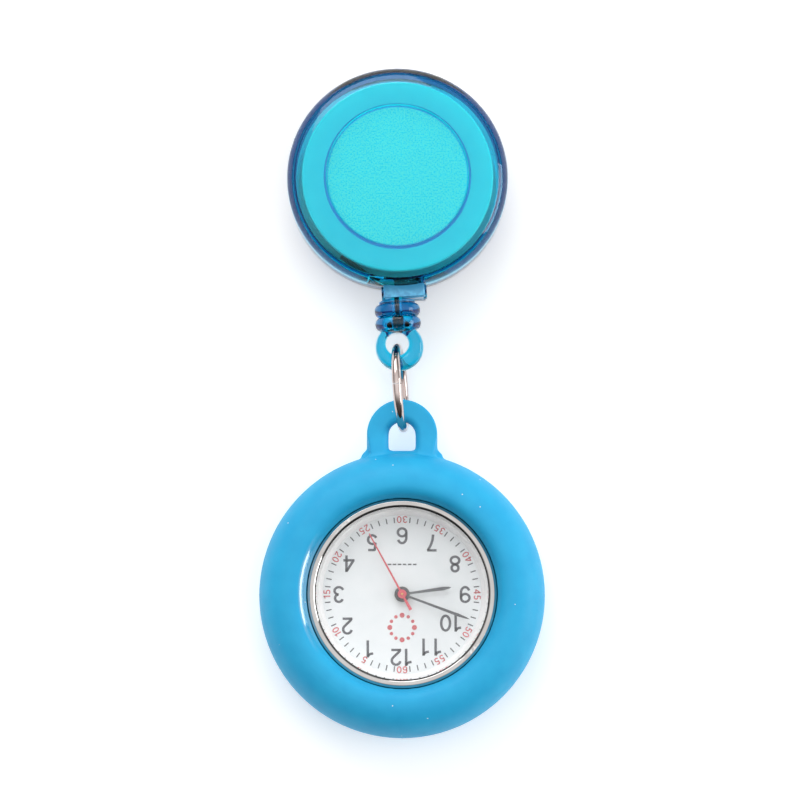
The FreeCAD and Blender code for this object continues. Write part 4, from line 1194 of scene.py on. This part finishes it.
# ---- soft case ----------------------------------------------------------------------------------------
@dataclass
class SoftCase:
    """The silicone case: a rounded ring that grips the watch head, with a loop."""

    place: Place
    radius: float = 20.6
    crest: Point2 = (15.8, 10.9)
    equator: float = 5.2
    loop_y: float = 23.1
    loop_r: float = 5.1
    hole_r: float = 1.95
    hole_flat: float = 20.8
    loop_z: Point2 = (4.4, 7.2)
    root_y: float = -17.4
    bore: float = 14.1
    voxel: float = 0.2
    mould_line: float = 0.035

    def profile(self) -> list[Point2]:
        """The ring's section, from the back opening round the outside to the lip and the cavity.

        Returns:
            The profile's points.
        """
        crest_r, crest_z = self.crest
        lip, mouth, back, seat_z = 13.66, 13.95, 10.5, 1.4
        lower = arc(15.5, self.equator, self.radius - 15.5, self.equator, -90, 0, 20)
        upper = arc(crest_r, self.equator, self.radius - crest_r, crest_z - self.equator, 0, 90, 24)
        slope = arc(crest_r, crest_z - 1.5, crest_r - mouth, 1.5, 90, 165, 14)
        inside = rounded([slope[-1], (lip, 9.3, 0.1), (lip, 9.0), (self.bore, 8.6), (self.bore, seat_z, 0.5),
                          (back, seat_z, 0.3), (back, 0.0, 0.4), lower[0]], closed=False)
        return [*lower, *upper[1:], *slope[1:], *inside[1:-1]]

    def slab(self, name: str, outline: Sequence[Point2], z: Point2, soft: float) -> bpy.types.Object:
        """A flat body with rounded rims.

        Args:
            name: the object's name.
            outline: its corners.
            z: its underside and top.
            soft: how far its rims are rounded.

        Returns:
            The slab.
        """
        bm = prism_bmesh(outline, *z)
        bevel(bm, level_edges(bm), soft, 5)
        return from_bmesh(name, bm, self.place)

    def loop_hole(self) -> bpy.types.Object:
        """The loop's D-shaped hole, which flares at both faces.

        Returns:
            The body to cut away.
        """
        low, high = self.loop_z
        h, y, flat = self.hole_r, self.loop_y, self.hole_flat
        hole = rounded([(-h, -flat, 0.45), (-h, -y), *arc(0, -y, h, h, 180, 360, 20)[1:-1], (h, -y),
                        (h, -flat, 0.45)])
        flare = bmesh.new()
        rows: Rings = []
        for z, grow in ((low - 1, 0.9), (low, 0.75), (low + 0.25, 0.32), (low + 0.7, 0.0), (high - 0.7, 0.0),
                        (high - 0.25, 0.32), (high, 0.75), (high + 1, 0.9)):
            ways = [Vector((a, b + (flat + y) / 2)).normalized() * grow for a, b in hole]
            rows.append([flare.verts.new((a + out.x, b + out.y, z)) for (a, b), out in zip(hole, ways)])
        skin(flare, rows)
        return from_bmesh("loop_hole", flare, self.place)

    def loop(self) -> bpy.types.Object:
        """The flat loop with its hole and the step at its root.

        Returns:
            The loop, as the body to join on.
        """
        low, high = self.loop_z
        r, y, root = self.loop_r, self.loop_y, self.root_y
        tab = self.slab("loop_blank", [(-r, root), *arc(0, -y, r, r, 180, 360, 28), (r, root)], self.loop_z,
                        0.9)
        step = [(r + 0.9, root), (-r - 0.9, root), (-r - 0.95, -19.3), (-r - 0.7, -20.3), (-r - 0.1, -20.9),
                (r + 0.1, -20.9), (r + 0.7, -20.3), (r + 0.95, -19.3)]
        joined(tab, self.slab("loop_step", step, (low + 0.03, high - 0.03), 0.85), "UNION")
        joined(tab, self.loop_hole(), "DIFFERENCE")
        return tab

    def build(self) -> None:
        """Builds the case as one soft skin and draws its mould line."""
        piece = from_bmesh("soft_case", lathe_bmesh(self.profile(), 256), self.place)
        joined(piece, self.loop(), "UNION")
        hole = bmesh.new()
        bmesh.ops.create_cone(hole, segments=160, radius1=self.bore, radius2=self.bore, depth=7.2,
                              cap_ends=True, matrix=Matrix.Translation((0, 0, 5.0)))
        joined(piece, from_bmesh("case_cavity", hole, self.place), "DIFFERENCE")
        crown_z = 4.55
        pocket = tube_bmesh([Vector((13.0, 0, crown_z)), Vector((17.05, 0, crown_z))], 1.9, 48)
        joined(piece, from_bmesh("crown_pocket", pocket, self.place), "DIFFERENCE")
        modify(piece, "REMESH", mode="VOXEL", voxel_size=self.voxel * MM, use_smooth_shade=True)
        modify(piece, "SMOOTH", factor=0.5, iterations=9)
        self.raise_mould_line(piece)
        seat(piece, "watch", SILICONE, ["silicone_case"])

    def raise_mould_line(self, piece: bpy.types.Object) -> None:
        """Raises the fine line that the mould leaves round the case's widest part.

        Args:
            piece: the case.
        """
        line_width, only_beyond = 0.09, 19.5
        for vertex in piece.data.vertices:
            x, y, z = vertex.co / MM
            out = Vector((x - self.place.x, y - self.place.y))
            near = math.exp(-((z - self.equator) / line_width) ** 2)
            if out.length > only_beyond:
                vertex.co += Vector((*out.normalized(), 0.0)) * self.mould_line * MM * near


# ---- watch head ---------------------------------------------------------------------------------------
class Strokes:
    """Digits drawn as strokes of even width in a box one high."""

    WIDTH = 0.62
    ONE_WIDTH = 0.52

    @classmethod
    def paths(cls, digit: str) -> list[list[Point2]]:
        """The centre lines of one digit's strokes.

        Args:
            digit: the digit.

        Returns:
            One path for each stroke.
        """
        if digit == "0":
            return [arc(0.31, 0.5, 0.245, 0.435, 0, 360, 28)]
        if digit == "1":
            return [[(0.42, 0.0), (0.42, 1.0)], [(0.12, 0.77), (0.26, 0.79), (0.36, 0.85), (0.41, 0.95)]]
        if digit == "2":
            return [[*arc(0.31, 0.69, 0.235, 0.245, 172, -38, 16), (0.3, 0.33), (0.13, 0.16), (0.085, 0.065)],
                    [(0.03, 0.065), (0.57, 0.065)]]
        if digit == "3":
            return [arc(0.29, 0.715, 0.21, 0.22, 165, -85, 16), arc(0.29, 0.285, 0.24, 0.22, 88, -165, 18)]
        if digit == "4":
            return [[(0.45, 0.0), (0.45, 0.98)], [(0.44, 0.93), (0.06, 0.3)], [(0.0, 0.29), (0.62, 0.29)]]
        if digit == "5":
            return [[(0.53, 0.935), (0.15, 0.935)], [(0.17, 0.96), (0.12, 0.5)],
                    [(0.12, 0.5), *arc(0.3, 0.32, 0.235, 0.255, 128, -155, 18)]]
        if digit == "6":
            return [arc(0.31, 0.3, 0.235, 0.235, 0, 360, 26),
                    [(0.075, 0.3), (0.075, 0.55), *arc(0.31, 0.62, 0.235, 0.315, 180, 22, 16)]]
        if digit == "7":
            return [[(0.05, 0.935), (0.57, 0.935)], [(0.54, 0.95), (0.36, 0.6), (0.27, 0.3), (0.24, 0.0)]]
        if digit == "8":
            return [arc(0.31, 0.735, 0.19, 0.2, 0, 360, 24), arc(0.31, 0.285, 0.235, 0.22, 0, 360, 26)]
        return [[(cls.WIDTH - x, 1 - y) for x, y in path] for path in cls.paths("6")]

    @staticmethod
    def ribbon(bm: bmesh.types.BMesh, path: Sequence[Point2], width: float, low: float, high: float,
               move: Callable[[Point2], Point2]) -> None:
        """Adds one stroke as a thin closed solid.

        Args:
            bm: the mesh to add to.
            path: the stroke's centre line, in digit units.
            width: the stroke's width, in digit units.
            low: the print's underside.
            high: the print's top.
            move: takes a point in digit units to the dial.
        """
        sharpest = 0.6
        closed = math.dist(path[0], path[-1]) < TINY
        points = [Vector(p) for p in (path[:-1] if closed else path)]
        count = len(points)
        lefts, rights = [], []
        for i, here in enumerate(points):
            ways = [(here - points[i - 1]).normalized()] if closed or i else []
            if closed or i < count - 1:
                ways.append((points[(i + 1) % count] - here).normalized())
            along = sum(ways, Vector((0, 0))).normalized()
            across = Vector((-along.y, along.x)) * width / 2 / max(sharpest, along.dot(ways[0]))
            for side, sign in ((lefts, 1), (rights, -1)):
                x, y = move(tuple(here + across * sign))
                side.append((bm.verts.new((x, y, low)), bm.verts.new((x, y, high))))
        for i in range(count if closed else count - 1):
            n = (i + 1) % count
            (la, lb), (lc, ld) = lefts[i], lefts[n]
            (ra, rb), (rc, rd) = rights[i], rights[n]
            for face in ((lb, rb, rd, ld), (la, lc, rc, ra), (la, lb, ld, lc), (ra, rc, rd, rb)):
                bm.faces.new(face)
        if not closed:
            for (la, lb), (ra, rb) in ((lefts[0], rights[0]), (lefts[-1], rights[-1])):
                bm.faces.new((la, ra, rb, lb))

    @classmethod
    def number(cls, bm: bmesh.types.BMesh, text: str, at: Point2, height: float, turn: float, z: Point2,
               width: float = 0.14, gap: float = 0.15, stretch: float = 1.06) -> None:
        """Adds a number centred on a point of the dial.

        Args:
            bm: the mesh to add to.
            text: the digits.
            at: the number's centre.
            height: the digits' height.
            turn: how far the number is turned, anticlockwise.
            z: the print's underside and top.
            width: stroke width as a share of the height.
            gap: space between digits as a share of the height.
            stretch: how much wider the digits are than their usual shape.
        """
        widths = [cls.ONE_WIDTH if digit == "1" else cls.WIDTH for digit in text]
        whole = sum(widths) + (len(text) - 1) * gap
        c, s = math.cos(math.radians(turn)), math.sin(math.radians(turn))
        for k, digit in enumerate(text):
            start = sum(widths[:k]) + k * gap - whole / 2

            def move(point: Point2, start: float = start) -> Point2:
                """Takes a point in digit units to the dial.

                Args:
                    point: the point.
                    start: where the digit starts.

                Returns:
                    The point on the dial.
                """
                x, y = (point[0] + start) * height * stretch, (point[1] - 0.5) * height
                return at[0] + x * c - y * s, at[1] + x * s + y * c

            for path in cls.paths(digit):
                cls.ribbon(bm, path, width, z[0], z[1], move)


@dataclass
class WatchHead:
    """The plated head with its crystal, dial, print and hands."""

    place: Place
    dial_z: float = 6.0
    print_z: Point2 = (6.004, 6.03)
    numeral_height: float = 2.42
    from_twelve: tuple[float, ...] = (8.95, 8.95, 9.0, 9.07, 8.75, 8.55, 8.4, 8.5, 8.72, 9.0, 8.15, 8.65)
    minute_height: float = 0.98
    minute_radius: float = 10.72
    track: Point2 = (10.27, 11.05)
    stroke_half: float = 0.08
    emblem_at: float = 4.7
    emblem_radius: float = 1.75
    dash_from: float = -1.8
    dash_pitch: float = 0.72
    hands_z: Point3 = (6.55, 6.92, 7.3)
    angles: Point3 = (262.0, 290.4, 151.4)

    def turned(self) -> None:
        """The turned pieces: head, back, crystal and its seal, dial and the sloping ring round it."""
        top, hole, edge, rim = self.dial_z, 1.0, 11.9, 12.27
        pieces = (
            ("head_shell", CHROME, "polished_case", "watch_case", 256, [
                (12.3, 2.0), (13.4, 2.0, 0.1), (14.0, 2.6, 0.3), (14.0, 8.45, 0.2), (13.62, 8.85, 0.1),
                (13.58, 9.26, 0.1), (13.2, 9.47, 0.3), (12.7, 9.56, 0.08), (12.54, 9.44, 0.04), (12.5, 9.1),
                (12.5, 8.2), (12.3, 8.2)]),
            ("head_back", TURNED_STEEL, "back_steel", "case_back", 220, [
                (0, 1.45), (8.9, 1.45), (9.0, 1.53, 0.04), (9.25, 1.53, 0.04), (9.35, 1.45),
                (12.7, 1.45, 0.1), (13.1, 1.65, 0.1), (13.1, 1.95), (12.28, 1.95), (12.28, 2.75, 0.1),
                (11.78, 2.75, 0.1), (11.78, 1.95), (0, 1.95)]),
            ("watch_crystal", CRYSTAL, "mineral_glass", "crystal", 256, [
                (0, 8.25), (12.38, 8.25, 0.05), (12.38, 9.33, 0.03), (12.26, 9.45, 0.03), (0, 9.45)]),
            ("crystal_seal", BLACK_RUBBER, "seal", "crystal_gasket", 200, [
                (12.49, 8.35), (12.49, 9.12, 0.04), (12.4, 9.12, 0.04), (12.4, 8.35)]),
            ("dial_face", DIAL_PAINT, "dial_paint", "dial", 256, [
                (hole, 5.6), (edge, 5.6), (edge, top, 0.05), (hole, top, 0.05)]),
            ("dial_rim", RING_PAINT, "ring_paint", "dial_ring", 256, [
                (11.35, top), (rim, top), (rim, 8.2), (11.95, 8.2, 0.08), (11.85, 7.95, 0.1),
                (11.38, 6.25, 0.1)]),
        )
        for name, finish, slot, node, segments, corners in pieces:
            seat(lathe(name, corners, self.place, segments), "watch", finish, [node])

    def printed(self, name: str, bm: bmesh.types.BMesh, ink: Finish) -> None:
        """Puts a print on the dial."""
        seat(from_bmesh(name, bm, self.place), "watch", ink)

    def hour_numbers(self) -> None:
        """The twelve hour numbers, all upright to the wearer."""
        bm = bmesh.new()
        for hour, radius in enumerate(self.from_twelve):
            spot = polar(radius, 90 - 30 * hour)
            Strokes.number(bm, str(hour or 12), spot, self.numeral_height, 0.0, self.print_z)
        self.printed("hour_numbers", bm, GREY_INK)

    def minute_track(self) -> None:
        """Minute strokes, and red minute numbers that turn with the track."""
        (low, high), half = self.track, self.stroke_half
        strokes, numbers = bmesh.new(), bmesh.new()
        for minute in range(1, 61):
            angle = 90 - 6 * minute
            if minute % 5:
                c, s = polar(1.0, angle)
                sides = ((low, -half), (high, -half), (high, half), (low, half))
                prism_bmesh([(r * c - w * s, r * s + w * c) for r, w in sides], *self.print_z, bm=strokes)
                continue
            upright = angle - 90 if minute <= 15 or minute >= 45 else angle + 90
            spot = polar(self.minute_radius, angle)
            Strokes.number(numbers, str(minute), spot, self.minute_height, upright, self.print_z,
                           width=0.15, gap=0.16, stretch=1.08)
        self.printed("minute_strokes", strokes, GREY_INK)
        self.printed("minute_numbers", numbers, RED_INK)

    def ornament(self) -> None:
        """A plain red ring of dots on twelve's side of the hub, and a row of grey dashes opposite."""
        dots, dashes, half = bmesh.new(), bmesh.new(), 0.25
        for k in range(12):
            x, y = polar(self.emblem_radius, 30 * k)
            size = half if k % 3 else 0.36
            dot = [(x + a, y + self.emblem_at + b) for a, b in arc(0, 0, size, size, 0, 360, 16)[:-1]]
            prism_bmesh(dot, *self.print_z, bm=dots)
        self.printed("dial_ornament", dots, RED_INK)
        for k in range(6):
            x = self.dash_from + self.dash_pitch * k
            dash = [(x - half, -4.4), (x + half, -4.4), (x + half, -4.2), (x - half, -4.2)]
            prism_bmesh(dash, *self.print_z, bm=dashes)
        self.printed("dial_dashes", dashes, GREY_INK)

    def hand(self, name: str, length: float, root: float, wide: float, z: float, angle: float,
             hub: float, bore: float) -> bpy.types.Object:
        """A slim hand that swells towards a point, with a round hub.

        Args:
            name: the object's name.
            length: from the hub's centre to the point.
            root: half its width at the hub.
            wide: half its width where it is widest.
            z: height of its underside.
            angle: how far it is turned, clockwise from twelve.
            hub: the hub's radius.
            bore: the radius of the hub's hole.

        Returns:
            The hand.
        """
        half = [(0.5 * wide, 0.96 * length), (wide, 0.84 * length), (root + 0.01, 0.3 * length), (root, 0.0)]
        outline = [*[(-x, y) for x, y in reversed(half)], (0, length), *half]
        bm = prism_bmesh(outline, z, z + 0.09)
        bevel(bm, [e for e in level_edges(bm) if e.verts[0].co.z > z + 0.05], 0.04, 2)
        step = bore + 0.45 * (hub - bore)
        hub_profile = [(bore, z - 0.02), (hub, z - 0.02, 0.03), (hub, z + 0.12, 0.04), (step, z + 0.12, 0.03),
                       (step - 0.03, z + 0.06), (bore, z + 0.06)]
        lathe_bmesh(rounded(hub_profile), 64, bm)
        bm.transform(Matrix.Rotation(math.radians(-angle), 4, "Z"))
        return from_bmesh(name, bm, self.place, 30)

    def hands(self) -> None:
        """The three hands."""
        low, middle, top = self.hands_z
        hour = self.hand("hour_pointer", length=7.1, root=0.16, wide=0.25, z=low, angle=self.angles[0],
                         hub=1.1, bore=0.85)
        seat(hour, "hour_wheel", GREY_HAND, ["hour_hand"])
        minute = self.hand("minute_pointer", length=10.3, root=0.15, wide=0.21, z=middle,
                           angle=self.angles[1], hub=0.86, bore=0.5)
        seat(minute, "centre_wheel", GREY_HAND, ["minute_hand"])
        waist, tail, point, reach, back = 0.14, 0.23, 0.09, 9.85, -2.6
        bm = prism_bmesh([(-waist, 0), (-tail, back), (tail, back), (waist, 0), (point, reach),
                          (-point, reach)], top, top + 0.08)
        lathe_bmesh(rounded([(0, top - 0.02), (0.64, top - 0.02, 0.03), (0.64, top + 0.16, 0.06),
                             (0.2, top + 0.17, 0.02), (0.17, top + 0.12), (0, top + 0.12)]), 48, bm)
        bm.transform(Matrix.Rotation(math.radians(-self.angles[2]), 4, "Z"))
        second = from_bmesh("second_pointer", bm, self.place, 30)
        seat(second, "second_wheel", RED_HAND, ["second_hand"])

    def build(self) -> None:
        """Builds every visible piece of the head."""
        self.turned()
        self.hour_numbers()
        self.minute_track()
        self.ornament()
        self.hands()


INNER_FINISHES: dict[str, Finish] = {
    "spring_steel": SPRING_STEEL, "arbor_steel": TURNED_STEEL, "seal": BLACK_RUBBER, "plate_brass": BRASS,
    "wheel_brass": BRASS, "magnet": DARK_IRON, "soft_iron": SPRING_STEEL, "copper_wire": COPPER,
    "cell_steel": TURNED_STEEL, "board": LAMINATE, "holder_plastic": CREAM_PLASTIC,
    "wheel_plastic": CREAM_PLASTIC, "polished_case": CHROME,
}


def dress_inner_pieces(frame: dict) -> None:
    """Gives each CAD node that still shows the finish of its slot.
    """
    slots = {row["node"]: row["material_slot"] for row in frame["record"]["subparts"]}
    for name, node in frame["nodes"].items():
        if node.hide_render:
            continue
        dress(node, INNER_FINISHES[slots[name]])
        log.info("%s: kept from the frame, %s", name, INNER_FINISHES[slots[name]].name)


# ---- studio -------------------------------------------------------------------------------------------
@dataclass
class Studio:
    """A pale table, a soft surround, soft boxes and the camera."""

    distance: float = 0.62
    elevation: float = 84.0
    frame_width: float = 0.1158
    target: Point3 = (-0.0003, 0.0004, 0.006)
    table_half: float = 3.0
    table_glow: float = 0.32

    def floor(self) -> None:
        """A pale lit table top."""
        bm = bmesh.new()
        bmesh.ops.create_grid(bm, x_segments=2, y_segments=2, size=self.table_half)
        mesh = bpy.data.meshes.new("table_top")
        bm.to_mesh(mesh)
        bm.free()
        table = make_object("table_top", mesh)
        finish = bpy.data.materials.new("Pale table")
        finish.use_nodes = True
        shader = finish.node_tree.nodes["Principled BSDF"]
        for key, value in (("Base Color", (0.9, 0.9, 0.9, 1.0)), ("Roughness", 0.8),
                           ("Specular IOR Level", 0.1), ("Emission Color", WHITE),
                           ("Emission Strength", self.table_glow)):
            shader.inputs[key].default_value = value
        table.data.materials.append(finish)

    def surround(self) -> None:
        """The room's light: bright overhead, darker round the horizon and darkest behind the camera."""
        world = bpy.data.worlds.new("Studio")
        bpy.context.scene.world = world
        world.use_nodes = True
        graph = Graph(world.node_tree)
        back = world.node_tree.nodes["Background"]
        facing = graph.add("ShaderNodeTexCoord").outputs["Generated"]
        parts = graph.add("ShaderNodeSeparateXYZ", {"Vector": facing}).outputs
        height = graph.spread(parts["Z"], 0.1, 0.95, 0.18, 1.2)
        front = graph.spread(parts["Y"], -0.7, -0.3, 0.15, 1.0)
        graph.feed(graph.math("MULTIPLY", height, front), back.inputs["Strength"])
        graph.feed(WHITE, back.inputs["Color"])

    @staticmethod
    def placed(name: str, data: bpy.types.ID, spot: Vector, aim: Vector) -> bpy.types.Object:
        """Hangs a light or a camera up, aimed at a point.

        Args:
            name: the object's name.
            data: the light or the camera.
            spot: where it hangs.
            aim: the point that it looks at.

        Returns:
            The object.
        """
        holder = bpy.data.objects.new(name, data)
        bpy.context.scene.collection.objects.link(holder)
        holder.location = spot
        holder.rotation_euler = (aim - spot).to_track_quat("-Z", "Y").to_euler()
        return holder

    def light(self, name: str, spot: Point3, size: Point2, power: float) -> None:
        """One soft box, aimed at the origin.

        Args:
            name: the light's name.
            spot: where it hangs.
            size: its width and height.
            power: its power in watts.
        """
        lamp = bpy.data.lights.new(name, "AREA")
        lamp.shape = "RECTANGLE"
        lamp.size, lamp.size_y = size
        lamp.energy = power
        self.placed(name, lamp, Vector(spot), Vector())

    def camera(self) -> None:
        """A long lens looking down from just below the watch's side."""
        eye = bpy.data.cameras.new("camera")
        eye.sensor_width = 36.0
        eye.lens = eye.sensor_width * self.distance / self.frame_width
        tilt = math.radians(self.elevation)
        away = Vector((0, -math.cos(tilt), math.sin(tilt))) * self.distance
        target = Vector(self.target)
        bpy.context.scene.camera = self.placed("camera", eye, target + away, target)

    def build(self) -> None:
        """Sets the table, the lights and the camera."""
        self.floor()
        self.surround()
        self.light("key", (-0.2, 0.68, 0.46), (0.75, 0.55), 3.2)
        self.light("low right", (0.55, -0.02, 0.16), (0.42, 0.24), 1.25)
        self.camera()
        bpy.context.scene.view_settings.view_transform = "Standard"


def corners(bounds: Sequence[Sequence[float]]) -> list[list[float]]:
    """A box as plain lists of numbers."""
    return [[float(v) for v in corner] for corner in bounds]


def main() -> None:
    """Builds the scene round the frame."""
    logging.basicConfig(level=logging.INFO, format="%(message)s")
    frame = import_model()
    Reel(REEL).build()
    Hanger(REEL).build()
    SoftCase(WATCH).build()
    WatchHead(WATCH).build()
    dress_inner_pieces(frame)
    Studio().build()


if __name__ == "__main__":
    main()
